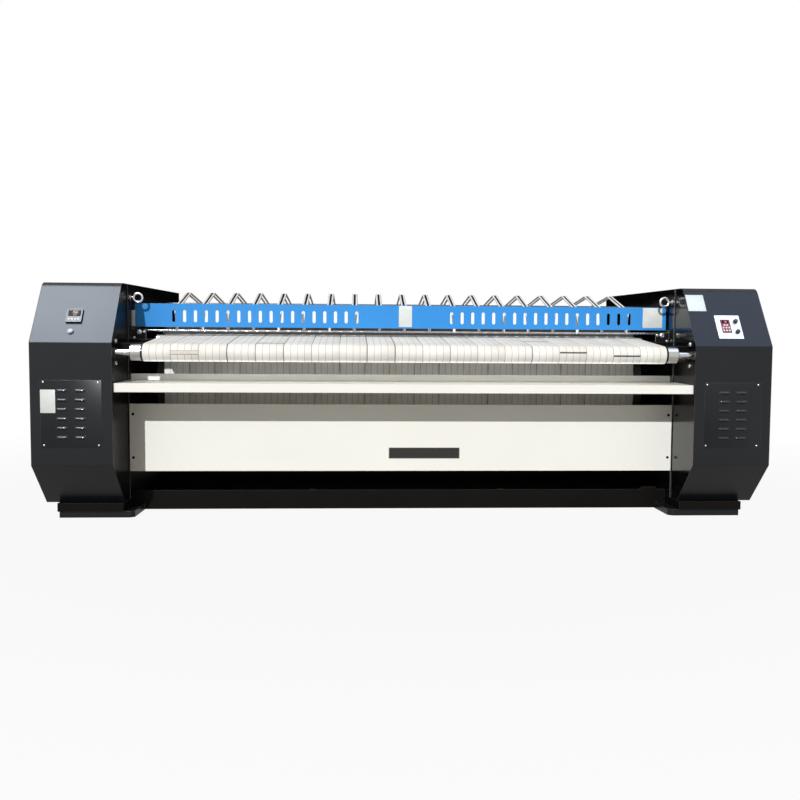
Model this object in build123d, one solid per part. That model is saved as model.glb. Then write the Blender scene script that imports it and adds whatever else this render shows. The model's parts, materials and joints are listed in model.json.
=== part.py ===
from build123d import *
import math
import os

os.makedirs("parts", exist_ok=True)

# A single-drum flatwork ironer. X runs along the drum, Y from front to back, Z up from the floor.
# Depths are measured back from the front face of the two end housings, and heights from the floor.

# ---- Driving dimensions, in millimetres -------------------------------------------------------

# Whole machine
WORKING_WIDTH = 3000.0
SIDE_MARGIN = 150.0
HOUSING_WIDTH = 450.0
DEPTH = 1800.0
HEIGHT = 1407.0

# Housing outline, seen from the side
SKIRT_HEIGHT = 87.0
CHAMFER_RUN = 229.0
CHAMFER_TOP = 333.0
SLOPE_RUN = 225.0
SLOPE_DROP = 346.0
ROOF_RISE = 41.0
TOP_BEND = 62.0
SHEET_BEND = 6.0
SHEET = 2.0

# Frame plates and the thinner walls in front of them
PLATE = 10.0
PLATE_FRONT = 350.0
WALL_SHEET = 3.0
WALL_RECESS = 5.0

# Base
FOOT_HEIGHT = 38.0
FOOT_FRONT = 200.0
FOOT_REAR_MARGIN = 20.0
FOOT_INBOARD = 60.0
FOOT_OUTBOARD = 369.0
FOOT_WALL = 6.0
FOOT_CORNER = 22.0
PLINTH_FRONT = 187.0
PLINTH_REAR_MARGIN = 30.0
PLINTH_WIDTH = 376.0
PLINTH_WALL = 4.0
BEAM_FRONT = 440.0
BEAM_REAR_MARGIN = 300.0
BEAM_DEPTH = 30.0
BEAM_TOP = 120.0
BEAM_WALL = 5.0
BEAM_FLOOR_GAP = 4.0
BEAM_END_GAP = 1.0
SADDLE_HEIGHT = 16.0
SADDLE_WIDTH = 115.0
SADDLE_FROM_PLATE = 45.0
PAN_FLANGE = 20.0
PAN_GAP = 0.5

# White sheet work between the housings
SHEET_END_GAP = 0.5
SHELF_FRONT = 20.0
SHELF_REAR = 400.0
SHELF_BELOW_FEED = 173.0
SHELF_LIP = 50.0
SHELF_RETURN = 12.0
SHELF_RISE = 6.0
SHELF_UPSTAND = 37.0
APRON_BELOW_SHELF = 137.0
APRON_HEIGHT = 405.0
APRON_FLANGE = 25.0
APRON_SCREW_INSET = 21.0
APRON_SCREW_TOP = 61.0
APRON_SCREW_BOTTOM = 82.0
REAR_APRON_DEPTH = 1700.0
CHUTE_ABOVE_DRUM = 210.0
CHUTE_BELT_GAP = 20.0
CHUTE_LIP = 30.0
NAMEPLATE_WIDTH = 436.0
NAMEPLATE_HEIGHT = 71.0
NAMEPLATE_OFFSET = 120.0
NAMEPLATE_ABOVE_EDGE = 109.0
NAMEPLATE_THICKNESS = 1.5
NAMEPLATE_BORDER = 3.0

# Access panels and their louvres
PANEL_WIDTH = 337.0
PANEL_HEIGHT = 380.0
PANEL_BOTTOM = 431.0
PANEL_FROM_PLATE = 226.0
PANEL_LAP = 12.0
PANEL_SCREW_INSET = 18.5
LOUVRE_ROWS = 6
LOUVRE_PITCH = 52.4
LOUVRE_WIDTH = 60.0
LOUVRE_HEIGHT = 16.0
LOUVRE_PROUD = 9.0
LOUVRE_SKIN = 1.5
LOUVRE_BULGE_OUT = 0.72
LOUVRE_BULGE_UP = 0.35
LOUVRE_COLUMN_PITCH = 100.0

# Conveyor belts
BELT_COUNT = 19
BELT_SLIT = 3.0
BELT_THICKNESS = 3.0
BELT_CLEARANCE = 0.3
LACING_WIDTH = 8.0
LACING_THICKNESS = 0.8
LACING_CLEARANCE = 0.2
LACING_FIRST_SHARE = 0.15
LACING_LAST_SHARE = 0.85
LACING_SKIP_COUNT = 7
# Belts whose lacing shows: by belt number, its angle round the feed roller, or its share of the top run
LACING_ON_ROLLER = {1: 170.0, 15: 157.0, 17: 178.0}
LACING_ON_TOP_RUN = {4: 0.93, 14: 0.62}

# Heated drum
DRUM_DEPTH = 1030.0
DRUM_DROP = 657.0
DRUM_RADIUS = 400.0
DRUM_WALL = 12.0
DRUM_OVERHANG = 50.0
DRUM_END_PLATE = 20.0
JOURNAL_RADIUS = 60.0
JOURNAL_REACH = 170.0
STEAM_BORE_RADIUS = 20.0
STEAM_NOSE_RADIUS = 30.0
STEAM_NOSE_LENGTH = 40.0

# Rollers
FEED_DEPTH = 55.0
FEED_ABOVE_DRUM = 217.0
FEED_RADIUS = 47.5
NIP_ANGLE = 141.0
EXIT_ANGLE = 34.0
NIP_RADIUS = 45.0
EXIT_RADIUS = 45.0
NIP_GAP = 0.4
LOWER_HEIGHT = 250.0
LOWER_REAR_RADIUS = 45.0
LOWER_FRONT_RADIUS = 40.0
FRONT_RUN_GAP = 11.1
SNUB_ABOVE_DRUM = 192.0
SNUB_RADIUS = 30.0
ROLLER_WALL = 5.0
ROLLER_DISC = 10.0
ROLLER_OVERHANG = 58.0
ROLLER_END_CHAMFER = 4.0
ROLLER_VENT_RADIUS = 4.0
SHAFT_RADIUS = 19.0
SHAFT_HOLE_CLEARANCE = 5.0
SHAFT_PROUD = 4.0

# Bearings and bolts
RUNNING_CLEARANCE = 0.05
BEARING_HUB_RADIUS = 36.0
BEARING_LENGTH = 44.0
BEARING_FLANGE = 16.0
BEARING_BOLT_SPACING = 125.0
BEARING_EAR_RADIUS = 16.0
TAKE_UP_BOLT_SETBACK = 43.0
TAKE_UP_HEIGHT = 160.0
TAKE_UP_MARGIN = 30.0
TAKE_UP_TRAVEL = 30.0
DRUM_BEARING_SIDE = 260.0
DRUM_BEARING_CORNER = 30.0
DRUM_BEARING_FLANGE = 25.0
DRUM_BEARING_HUB_RADIUS = 95.0
DRUM_BEARING_LENGTH = 80.0
DRUM_BEARING_BOLT_INSET = 35.0
BOLT_RADIUS = 9.0
BOLT_HEAD = 8.0
BOLT_SHANK_RADIUS = 5.0
BOLT_CLEARANCE = 0.3
SCREW_RADIUS = 5.5
SCREW_HEAD = 3.0
HEAD_DOME = 0.6

# Chain drive, in the right housing
CHAIN_PITCH = 25.4
DRUM_TEETH = 40
MOTOR_TEETH = 15
TOOTH_WIDTH = 15.0
TOOTH_RISE = 6.0
TOOTH_ROOT = 7.0
TOOTH_TIP_SHARE = 0.12
TOOTH_FOOT_SHARE = 0.3
SPROCKET_HUB_WALL = 25.0
SPROCKET_HUB_LENGTH = 40.0
SPROCKET_FROM_PLATE = 130.0
CHAIN_PLATE = 3.0
CHAIN_PLATE_GAP = 0.5
CHAIN_PLATE_HEIGHT = 14.0
CHAIN_PIN_RADIUS = 4.0
CHAIN_FREE_PITCHES = 3
MOTOR_DEPTH = 640.0
MOTOR_HEIGHT = 330.0
MOTOR_SHAFT_RADIUS = 17.5
GEARBOX_SIDE = 180.0
GEARBOX_LENGTH = 160.0
GEARBOX_GAP = 12.0
MOTOR_RADIUS = 70.0
MOTOR_LENGTH = 260.0

# Steam supply, in the left housing
ROTARY_JOINT_RADIUS = 55.0
ROTARY_JOINT_LENGTH = 100.0
ROTARY_JOINT_GAP = 10.0
ROTARY_JOINT_POCKET = 20.0
ROTARY_BOSS_WALL = 8.0
ROTARY_BOSS_PROUD = 10.0
PIPE_RADIUS = 16.85
PIPE_WALL = 3.25
PIPE_BEND = 60.0
PIPE_RISE = 75.0
PIPE_NECK_GAP = 2.0
PIPE_NECK = 3.0
PIPE_NECK_DEPTH = 1.0
PIPE_SPIGOT = 25.0
PIPE_HOLE_CLEARANCE = 0.6

# Feed bed under the top run of the belts
BED_SHEET = 3.0
BED_LIP = 25.0
BED_END_SETBACK = 55.0
BED_TUBE = 40.0
BED_TUBE_WALL = 3.0
BED_FRONT_TUBE = 90.0
BED_REAR_TUBE = 330.0

# Guide wires over the drum
WIRE_RADIUS = 2.0
WIRE_SPREAD = 30.0
WIRE_PEAK_DEPTH = 955.0
WIRE_PEAK_DROP = 77.0
WIRE_PEAK_BEND = 25.0
WIRE_CLEARANCE = 0.1
ROD_RADIUS = 6.0
FRONT_ROD_DEPTH = 590.0
FRONT_ROD_DROP = 307.0
REAR_ROD_DEPTH = 1490.0
REAR_ROD_DROP = 102.0
BRACKET_FRONT = 430.0
BRACKET_BELOW_ROD = 60.0
BRACKET_ABOVE_ROD = 4.0
BRACKET_SHEET = 6.0
BRACKET_REACH = 85.0
BRACKET_REAR_MARGIN = 20.0
BRACKET_BOLTS = 3
BRACKET_BOLT_INSET = 13.0
BRACKET_BOLT_PITCH = 30.5
BRACKET_BOLT_RISE = 16.0
BRACKET_BOLT_DROP = 20.0

# Finger guard
GUARD_DEPTH = 465.0
GUARD_DROP = 146.0
GUARD_HEIGHT = 141.0
GUARD_END_GAP = 10.0
GUARD_TOP_FLANGE = 36.0
GUARD_BOTTOM_FLANGE = 20.0
GUARD_SLOT_LENGTH = 73.0
GUARD_SLOT_WIDTH = 19.0
GUARD_SLOT_PITCH = 65.5
GUARD_SLOTS_PER_SIDE = 18
GUARD_FIRST_SLOT = 293.0
GUARD_SLOT_DROP = 75.5
GUARD_PIN_RADIUS = 8.0
GUARD_PIN_SETBACK = 25.0
GUARD_PIN_DROP = 21.0
GUARD_PIN_RIM = 2.0
GUARD_PIN_HEAD = 5.0
GUARD_BOSS_RADIUS = 18.0
GUARD_BOSS_GAP = 1.0
SENSOR_WIDTH = 16.0
SENSOR_THICKNESS = 20.0
SENSOR_ABOVE_GUARD_EDGE = 3.0
SENSOR_HEIGHT = 96.0
SENSOR_GUARD_GAP = 15.0

# Lifting eyebolts
EYE_DEPTH = 384.0
EYE_DROP = 117.0
EYE_INBOARD = 50.0
EYE_RING_RADIUS = 25.75
EYE_ROD_RADIUS = 7.25
EYE_SHANK_RADIUS = 10.0
EYE_COLLAR_RADIUS = 17.0
EYE_COLLAR = 7.0
EYE_NUT_RADIUS = 16.0
EYE_NUT = 14.0

# Instruments on the sloping faces: distances up the slope and outboard from the frame plate
CONTROLLER_OUTBOARD = 228.0
CONTROLLER_UP = 175.0
CONTROLLER_WIDTH = 88.0
CONTROLLER_HEIGHT = 90.0
CONTROLLER_PROUD = 12.0
CONTROLLER_RIM = 4.0
CONTROLLER_CORNER = 4.0
CONTROLLER_RECESS = 2.0
CONTROLLER_BODY_INSET = 5.0
CONTROLLER_BODY_DEPTH = 60.0
SELECTOR_OUTBOARD = 235.0
SELECTOR_UP = 72.0
SELECTOR_RADIUS = 17.0
SELECTOR_PROUD = 7.0
SELECTOR_ROTOR_RADIUS = 11.0
SELECTOR_ROTOR_PROUD = 10.0
SELECTOR_STEM_LENGTH = 30.0
SELECTOR_SLOT = 1.6
CONTROL_OUTBOARD = 220.0
CONTROL_UP = 133.0
CONTROL_WIDTH = 146.0
CONTROL_HEIGHT = 163.0
CONTROL_THICKNESS = 3.0
CONTROL_CORNER = 3.0
KEYPAD_OUTBOARD = 203.5
KEYPAD_UP = 137.5
KEYPAD_WIDTH = 56.0
KEYPAD_HEIGHT = 93.0
KEYPAD_THICKNESS = 1.0
BUTTON_OUTBOARD = 265.0
KNOB_UP = 170.0
BUTTON_UP = 99.0
KNOB_RADIUS = 14.0
KNOB_HEIGHT = 17.0
KNOB_GAP = 0.5
KNOB_STEM_RADIUS = 3.0
KNOB_MARK = 2.0
KNOB_EDGE = 2.0
BUTTON_RADIUS = 13.0
BUTTON_HEIGHT = 11.0
BUTTON_TRAVEL = 4.0
BUTTON_EDGE = 3.0
BUTTON_STEM_RADIUS = 8.0
STEM_LENGTH = 25.0
STEM_HOLE_CLEARANCE = 2.0

# ---- Places worked out from the driving dimensions --------------------------------------------

HALF_WORK = WORKING_WIDTH / 2
HALF_BAY = HALF_WORK + SIDE_MARGIN
OUTER_X = HALF_BAY + HOUSING_WIDTH
COVER_X = OUTER_X - SHEET
PLATE_OUTER_X = HALF_BAY + PLATE
WALL_X = HALF_BAY + WALL_RECESS
WALL_OUTER_X = WALL_X + WALL_SHEET
BELT_PITCH = WORKING_WIDTH / BELT_COUNT
BELT_WIDTH = BELT_PITCH - BELT_SLIT
PANEL_X = HALF_BAY + PANEL_FROM_PLATE
SLOPE_TOP = HEIGHT - ROOF_RISE
SLOPE_FOOT = SLOPE_TOP - SLOPE_DROP
SLOPE_LENGTH = math.hypot(SLOPE_RUN, SLOPE_DROP)
DRUM_HEIGHT = HEIGHT - DRUM_DROP
FEED_HEIGHT = DRUM_HEIGHT + FEED_ABOVE_DRUM
SNUB_HEIGHT = DRUM_HEIGHT + SNUB_ABOVE_DRUM
WRAPPED_RADIUS = DRUM_RADIUS + BELT_THICKNESS + 2 * BELT_CLEARANCE
FRONT_RUN_DEPTH = DRUM_DEPTH - WRAPPED_RADIUS - FRONT_RUN_GAP
SNUB_DEPTH = FRONT_RUN_DEPTH - BELT_THICKNESS - BELT_CLEARANCE - SNUB_RADIUS
LOWER_FRONT_DEPTH = FRONT_RUN_DEPTH + BELT_CLEARANCE + LOWER_FRONT_RADIUS
SHELF_LIP_TOP = FEED_HEIGHT - SHELF_BELOW_FEED
SHELF_LIP_BOTTOM = SHELF_LIP_TOP - SHELF_LIP
APRON_TOP = SHELF_LIP_TOP - APRON_BELOW_SHELF
APRON_BOTTOM = APRON_TOP - APRON_HEIGHT
NAMEPLATE_MIDDLE = APRON_BOTTOM + NAMEPLATE_ABOVE_EDGE
CHUTE_TOP = DRUM_HEIGHT + CHUTE_ABOVE_DRUM
WIRE_PEAK_HEIGHT = HEIGHT - WIRE_PEAK_DROP
FRONT_ROD_HEIGHT = HEIGHT - FRONT_ROD_DROP
REAR_ROD_HEIGHT = HEIGHT - REAR_ROD_DROP
BRACKET_BOTTOM = FRONT_ROD_HEIGHT - BRACKET_BELOW_ROD
BRACKET_TOP = FRONT_ROD_HEIGHT + BRACKET_ABOVE_ROD
GUARD_TOP = HEIGHT - GUARD_DROP
GUARD_BOTTOM = GUARD_TOP - GUARD_HEIGHT
GUARD_SLOT_MIDDLE = GUARD_TOP - GUARD_SLOT_DROP
SENSOR_BOTTOM = GUARD_BOTTOM + SENSOR_ABOVE_GUARD_EDGE
EYE_HEIGHT = HEIGHT - EYE_DROP
PIPE_PROUD = PIPE_NECK_GAP + PIPE_NECK + PIPE_SPIGOT
DRUM_HALF_LENGTH = HALF_WORK + DRUM_OVERHANG
JOURNAL_END = HALF_BAY + JOURNAL_REACH
STEAM_PIPE_X = JOURNAL_END + ROTARY_JOINT_GAP + ROTARY_JOINT_LENGTH / 2
ROLLER_SHAFT_END = PLATE_OUTER_X + BEARING_LENGTH + SHAFT_PROUD
FEED_SHAFT_END = WALL_OUTER_X + BEARING_LENGTH + SHAFT_PROUD
ROLLER_HALF_LENGTH = HALF_WORK + ROLLER_OVERHANG
SPROCKET_X = HALF_BAY + SPROCKET_FROM_PLATE
GEARBOX_X = SPROCKET_X + TOOTH_WIDTH / 2 + GEARBOX_GAP
SELECTOR_X = -(HALF_BAY + SELECTOR_OUTBOARD)
BUTTON_X = HALF_BAY + BUTTON_OUTBOARD
DRUM_CENTRE = (DRUM_DEPTH, DRUM_HEIGHT)
MOTOR_CENTRE = (MOTOR_DEPTH, MOTOR_HEIGHT)
GUARD_AXIS = (GUARD_DEPTH + GUARD_PIN_SETBACK, GUARD_TOP - GUARD_PIN_DROP)
GUARD_HALF_LENGTH = HALF_BAY - GUARD_END_GAP


def beside_drum(angle, radius):
    """Centre of a roller that holds a belt against the drum at an angle above the rear side."""
    reach = WRAPPED_RADIUS + radius + NIP_GAP
    turn = math.radians(angle)
    return (DRUM_DEPTH + reach * math.cos(turn), DRUM_HEIGHT + reach * math.sin(turn))


FEED_CENTRE = (FEED_DEPTH, FEED_HEIGHT)
NIP_CENTRE = beside_drum(NIP_ANGLE, NIP_RADIUS)
EXIT_CENTRE = beside_drum(EXIT_ANGLE, EXIT_RADIUS)
LOWER_REAR_CENTRE = (EXIT_CENTRE[0], LOWER_HEIGHT)
LOWER_FRONT_CENTRE = (LOWER_FRONT_DEPTH, LOWER_HEIGHT)
SNUB_CENTRE = (SNUB_DEPTH, SNUB_HEIGHT)
PLATE_ROLLER_CENTRES = [
    NIP_CENTRE,
    EXIT_CENTRE,
    LOWER_REAR_CENTRE,
    LOWER_FRONT_CENTRE,
    SNUB_CENTRE,
]

# ---- Helpers ----------------------------------------------------------------------------------


def y_at(depth):
    return depth - DEPTH / 2


def block(x0, x1, d0, d1, z0, z1):
    """A box between two X values, two depths and two heights."""
    middle = Pos((x0 + x1) / 2, y_at((d0 + d1) / 2), (z0 + z1) / 2)
    return middle * Box(abs(x1 - x0), d1 - d0, z1 - z0)


def side_view(x):
    """The plane across the machine at x, whose own axes are depth and height."""
    return Plane(origin=(x, y_at(0), 0), x_dir=(0, 1, 0), z_dir=(1, 0, 0))


def across(sketch, x0, x1):
    """A side-view sketch made solid from x0 to x1."""
    return extrude(side_view(x0) * sketch, amount=x1 - x0)


def disc(centre, radius, x0, x1):
    """A round bar along X about a centre given as depth and height."""
    return across(Pos(*centre) * Circle(radius), x0, x1)


def slope_plane(x, up, proud=0.0):
    """A plane on a housing's sloping face: its x runs along X, its y up the slope."""
    along = (0, SLOPE_RUN / SLOPE_LENGTH, SLOPE_DROP / SLOPE_LENGTH)
    outward = (0, -SLOPE_DROP / SLOPE_LENGTH, SLOPE_RUN / SLOPE_LENGTH)
    origin = (
        x,
        y_at(up * along[1] + proud * outward[1]),
        SLOPE_FOOT + up * along[2] + proud * outward[2],
    )
    return Plane(origin=origin, x_dir=(1, 0, 0), z_dir=outward)


def on_slope(sketch, x, up, start, end):
    """A sketch made solid between two heights above the sloping face."""
    return extrude(slope_plane(x, up, start) * sketch, amount=end - start)


def domed_head(radius, height):
    """The head of a screw or bolt about its own centre, domed at the +Z end."""
    head = Cylinder(radius, height)
    rim = head.edges().filter_by(GeomType.CIRCLE).sort_by(Axis.Z)[-1]
    return fillet(rim, height * HEAD_DOME)


def mirrored(shape):
    return mirror(shape, about=Plane.YZ)


def save(name, *shapes):
    """Write the solids of one node."""
    solids = [solid for shape in shapes for solid in shape.solids()]
    export_step(solids[0] if len(solids) == 1 else Compound(solids), f"parts/{name}.step")


def save_pair(name, right_shape):
    """Write a right-hand node and its mirror image on the left."""
    save(f"right_{name}", right_shape)
    save(f"left_{name}", mirrored(right_shape))


def tangent(start, end):
    """Where a line leaves one circle and meets the next.

    Each circle is (centre, radius, turn): turn is +1 where the path runs anticlockwise round it
    in the side view, and -1 where it runs clockwise.
    """
    (c1, r1, s1), (c2, r2, s2) = start, end
    span = (c2[0] - c1[0], c2[1] - c1[1])
    heading = math.atan2(span[1], span[0]) - math.asin((s2 * r2 - s1 * r1) / math.hypot(*span))
    left = (-math.sin(heading), math.cos(heading))
    leave = (c1[0] - s1 * r1 * left[0], c1[1] - s1 * r1 * left[1])
    meet = (c2[0] - s2 * r2 * left[0], c2[1] - s2 * r2 * left[1])
    return leave, meet


def arc_round(circle, start, end):
    """The arc of a path round one circle from start to end."""
    centre, radius, turn = circle
    first = math.atan2(start[1] - centre[1], start[0] - centre[0])
    last = math.atan2(end[1] - centre[1], end[0] - centre[0])
    sweep_angle = (turn * (last - first)) % (2 * math.pi)
    middle = first + turn * sweep_angle / 2
    through = (centre[0] + radius * math.cos(middle), centre[1] + radius * math.sin(middle))
    return ThreePointArc(start, through, end)


def looped(circles):
    """The closed outline of a band that runs round the circles in order."""
    count = len(circles)
    spans = [tangent(circles[i], circles[(i + 1) % count]) for i in range(count)]
    edges = []
    for i in range(count):
        edges.append(arc_round(circles[i], spans[i - 1][1], spans[i][0]))
        edges.append(Line(*spans[i]))
    return make_face(Wire(edges))


def folded(points, thickness):
    """The section of a sheet whose outer face follows the points, with its body on their right."""
    outer = points
    inner = []
    for i, point in enumerate(points):
        before = points[i - 1] if i else None
        after = points[i + 1] if i + 1 < len(points) else None
        normals = []
        for a, b in ((before, point), (point, after)):
            if a and b:
                length = math.hypot(b[0] - a[0], b[1] - a[1])
                normals.append(((b[1] - a[1]) / length, -(b[0] - a[0]) / length))
        nx = sum(n[0] for n in normals)
        nz = sum(n[1] for n in normals)
        scale = thickness * len(normals) / (nx * nx + nz * nz)
        inner.append((point[0] + nx * scale, point[1] + nz * scale))
    return make_face(Polyline(*outer, *reversed(inner), close=True))


# ---- Housings ---------------------------------------------------------------------------------


def housing_outline():
    """The outline of a housing in side view, with its bent corners."""
    corners = [
        (CHAMFER_RUN, SKIRT_HEIGHT),
        (DEPTH, SKIRT_HEIGHT),
        (DEPTH, HEIGHT),
        (SLOPE_RUN, SLOPE_TOP),
        (0, SLOPE_FOOT),
        (0, CHAMFER_TOP),
    ]
    face = make_face(Polyline(*corners, close=True))
    top_bend = face.vertices().sort_by_distance((SLOPE_RUN, SLOPE_TOP, 0))[0]
    face = fillet(top_bend, TOP_BEND)
    for corner in [(0, SLOPE_FOOT, 0), (0, CHAMFER_TOP, 0)]:
        face = fillet(face.vertices().sort_by_distance(corner)[0], SHEET_BEND)
    return face


OUTLINE = housing_outline()
INTERIOR = offset(OUTLINE, -SHEET, kind=Kind.INTERSECTION)


def slope_cut(width, height, x, up):
    """A cutter for a rectangular opening through a sloping face."""
    return on_slope(Rectangle(width, height), x, up, -3 * SHEET, SHEET)


def round_slope_cut(radius, x, up):
    return on_slope(Circle(radius), x, up, -3 * SHEET, SHEET)


def front_shell():
    """The folded sheet over the chamfer, front, slope and top, with the service opening."""
    shell = across(OUTLINE - INTERIOR, HALF_BAY, COVER_X)
    shell -= block(HALF_BAY - 1, COVER_X + 1, DEPTH - SHEET, DEPTH + 1, 0, HEIGHT - SHEET)
    shell -= block(HALF_BAY - 1, COVER_X + 1, CHAMFER_RUN + SHEET, DEPTH + 1, 0, SKIRT_HEIGHT + SHEET)
    shell -= block(HALF_BAY - 1, PLATE_OUTER_X, PLATE_FRONT, DEPTH + 1, 0, HEIGHT + 1)
    half_opening = PANEL_WIDTH / 2 - PANEL_LAP * 2
    shell -= block(
        PANEL_X - half_opening,
        PANEL_X + half_opening,
        -1,
        2 * SHEET,
        PANEL_BOTTOM + 2 * PANEL_LAP,
        PANEL_BOTTOM + PANEL_HEIGHT - 2 * PANEL_LAP,
    )
    return shell


def left_front_shell():
    """The left shell, with the openings for the temperature controller and the key switch."""
    shell = mirrored(front_shell())
    body_width = CONTROLLER_WIDTH - 2 * CONTROLLER_BODY_INSET
    body_height = CONTROLLER_HEIGHT - 2 * CONTROLLER_BODY_INSET
    shell -= slope_cut(
        body_width + 2 * BOLT_CLEARANCE,
        body_height + 2 * BOLT_CLEARANCE,
        -(HALF_BAY + CONTROLLER_OUTBOARD),
        CONTROLLER_UP,
    )
    hole = SELECTOR_ROTOR_RADIUS + STEM_HOLE_CLEARANCE
    shell -= round_slope_cut(hole, -(HALF_BAY + SELECTOR_OUTBOARD), SELECTOR_UP)
    return shell


def right_front_shell():
    """The right shell, with the openings behind the control plate."""
    shell = front_shell()
    x = HALF_BAY + BUTTON_OUTBOARD
    shell -= round_slope_cut(KNOB_STEM_RADIUS + STEM_HOLE_CLEARANCE, x, KNOB_UP)
    shell -= round_slope_cut(BUTTON_STEM_RADIUS + STEM_HOLE_CLEARANCE, x, BUTTON_UP)
    return shell


def side_cover():
    return across(OUTLINE, COVER_X, OUTER_X)


def rear_cover():
    return block(PLATE_OUTER_X, COVER_X, DEPTH - SHEET, DEPTH, SKIRT_HEIGHT, HEIGHT - SHEET)


def pipe_heights():
    """The two heights at which the steam pipes leave through the left rear cover."""
    rise = ROTARY_JOINT_RADIUS + PIPE_RISE
    return [DRUM_HEIGHT + rise, DRUM_HEIGHT - rise]


def left_rear_cover():
    cover = mirrored(rear_cover())
    for height in pipe_heights():
        hole = Cylinder(PIPE_RADIUS + PIPE_HOLE_CLEARANCE, 4 * SHEET, rotation=(90, 0, 0))
        cover -= Pos(-STEAM_PIPE_X, y_at(DEPTH), height) * hole
    return cover


def louvre_hood():
    """One pressed louvre about its own centre: a closed-ended hood, open along its lower edge."""
    half = LOUVRE_HEIGHT / 2
    outer = make_face(
        [
            ThreePointArc(
                (0, half),
                (-LOUVRE_PROUD * LOUVRE_BULGE_OUT, half * LOUVRE_BULGE_UP),
                (-LOUVRE_PROUD, -half),
            ),
            Line((-LOUVRE_PROUD, -half), (0, -half)),
            Line((0, -half), (0, half)),
        ]
    )
    skin = LOUVRE_SKIN
    inner = make_face(
        [
            ThreePointArc(
                (0, half - skin),
                (-(LOUVRE_PROUD - skin) * LOUVRE_BULGE_OUT, (half - skin) * LOUVRE_BULGE_UP),
                (-(LOUVRE_PROUD - skin), -half - 1),
            ),
            Line((-(LOUVRE_PROUD - skin), -half - 1), (0, -half - 1)),
            Line((0, -half - 1), (0, half - skin)),
        ]
    )
    hood = extrude(side_view(-LOUVRE_WIDTH / 2) * outer, amount=LOUVRE_WIDTH)
    hollow = extrude(side_view(skin - LOUVRE_WIDTH / 2) * inner, amount=LOUVRE_WIDTH - 2 * skin)
    return hood - hollow


def louvre_places():
    """The centre of every louvre on the right-hand panel."""
    middle = PANEL_BOTTOM + PANEL_HEIGHT / 2
    places = []
    for column in (-0.5, 0.5):
        for row in range(LOUVRE_ROWS):
            height = middle + (row - (LOUVRE_ROWS - 1) / 2) * LOUVRE_PITCH
            places.append((PANEL_X + column * LOUVRE_COLUMN_PITCH, height))
    return places


def access_panel():
    """The bolted panel on the front of a housing, with its rows of louvres."""
    half = PANEL_WIDTH / 2
    top = PANEL_BOTTOM + PANEL_HEIGHT
    panel = block(PANEL_X - half, PANEL_X + half, -SHEET, 0, PANEL_BOTTOM, top)
    slot_height = LOUVRE_HEIGHT - 2 * LOUVRE_SKIN
    hood = louvre_hood()
    for x, height in louvre_places():
        slot_half = LOUVRE_WIDTH / 2 - LOUVRE_SKIN
        low = height - slot_height / 2
        panel -= block(x - slot_half, x + slot_half, -SHEET - 1, 1, low, low + slot_height)
    hoods = [Pos(x, -SHEET, height) * hood for x, height in louvre_places()]
    return panel + hoods


def frame_plate():
    """The thick plate that carries the drum and the rollers at one end."""
    plate = across(OUTLINE, HALF_BAY, PLATE_OUTER_X)
    plate -= block(HALF_BAY - 1, PLATE_OUTER_X + 1, -1, PLATE_FRONT, 0, HEIGHT + 1)
    past = (HALF_BAY - 1, PLATE_OUTER_X + 1)
    plate -= disc(DRUM_CENTRE, JOURNAL_RADIUS + SHAFT_HOLE_CLEARANCE, *past)
    for centre in PLATE_ROLLER_CENTRES:
        plate -= disc(centre, SHAFT_RADIUS + SHAFT_HOLE_CLEARANCE, *past)
    plate -= disc((EYE_DEPTH, EYE_HEIGHT), EYE_SHANK_RADIUS + BOLT_CLEARANCE, *past)
    return plate


def inner_wall():
    """The thinner wall in front of a frame plate, slotted for the feed roller's take-up."""
    wall = across(INTERIOR, WALL_X, WALL_OUTER_X)
    wall -= block(WALL_X - 1, WALL_OUTER_X + 1, PLATE_FRONT, DEPTH + 1, 0, HEIGHT + 1)
    slot_half = SHAFT_RADIUS + SHAFT_HOLE_CLEARANCE
    slot = Pos(*FEED_CENTRE) * SlotCenterToCenter(TAKE_UP_TRAVEL, 2 * slot_half)
    wall -= across(slot, WALL_X - 1, WALL_OUTER_X + 1)
    for centre in take_up_bolts():
        wall -= disc(centre, BOLT_SHANK_RADIUS + BOLT_CLEARANCE, WALL_X - 1, WALL_OUTER_X + 1)
    return wall


# ---- Base -------------------------------------------------------------------------------------


def plinth():
    """The pan under a housing, open below."""
    outer_x = HALF_BAY + PLINTH_WIDTH
    rear = DEPTH - PLINTH_REAR_MARGIN
    pan = block(HALF_BAY, outer_x, PLINTH_FRONT, rear, FOOT_HEIGHT, SKIRT_HEIGHT)
    pan -= block(
        HALF_BAY + PLINTH_WALL,
        outer_x - PLINTH_WALL,
        PLINTH_FRONT + PLINTH_WALL,
        rear - PLINTH_WALL,
        FOOT_HEIGHT - 1,
        SKIRT_HEIGHT - PLINTH_WALL,
    )
    return pan


def foot_rail():
    """The flat hollow rail that stands on the floor, with its inboard corners cut off."""
    inner_x = HALF_BAY - FOOT_INBOARD
    outer_x = HALF_BAY + FOOT_OUTBOARD
    rear = DEPTH - FOOT_REAR_MARGIN
    rail = block(inner_x, outer_x, FOOT_FRONT, rear, 0, FOOT_HEIGHT)
    upright = rail.edges().filter_by(Axis.Z).group_by(Axis.X)[0]
    rail = chamfer(upright, FOOT_CORNER)
    rail -= block(
        HALF_BAY,
        outer_x - FOOT_WALL,
        FOOT_FRONT + FOOT_WALL,
        rear - FOOT_WALL,
        FOOT_WALL,
        FOOT_HEIGHT + 1,
    )
    return rail


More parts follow.
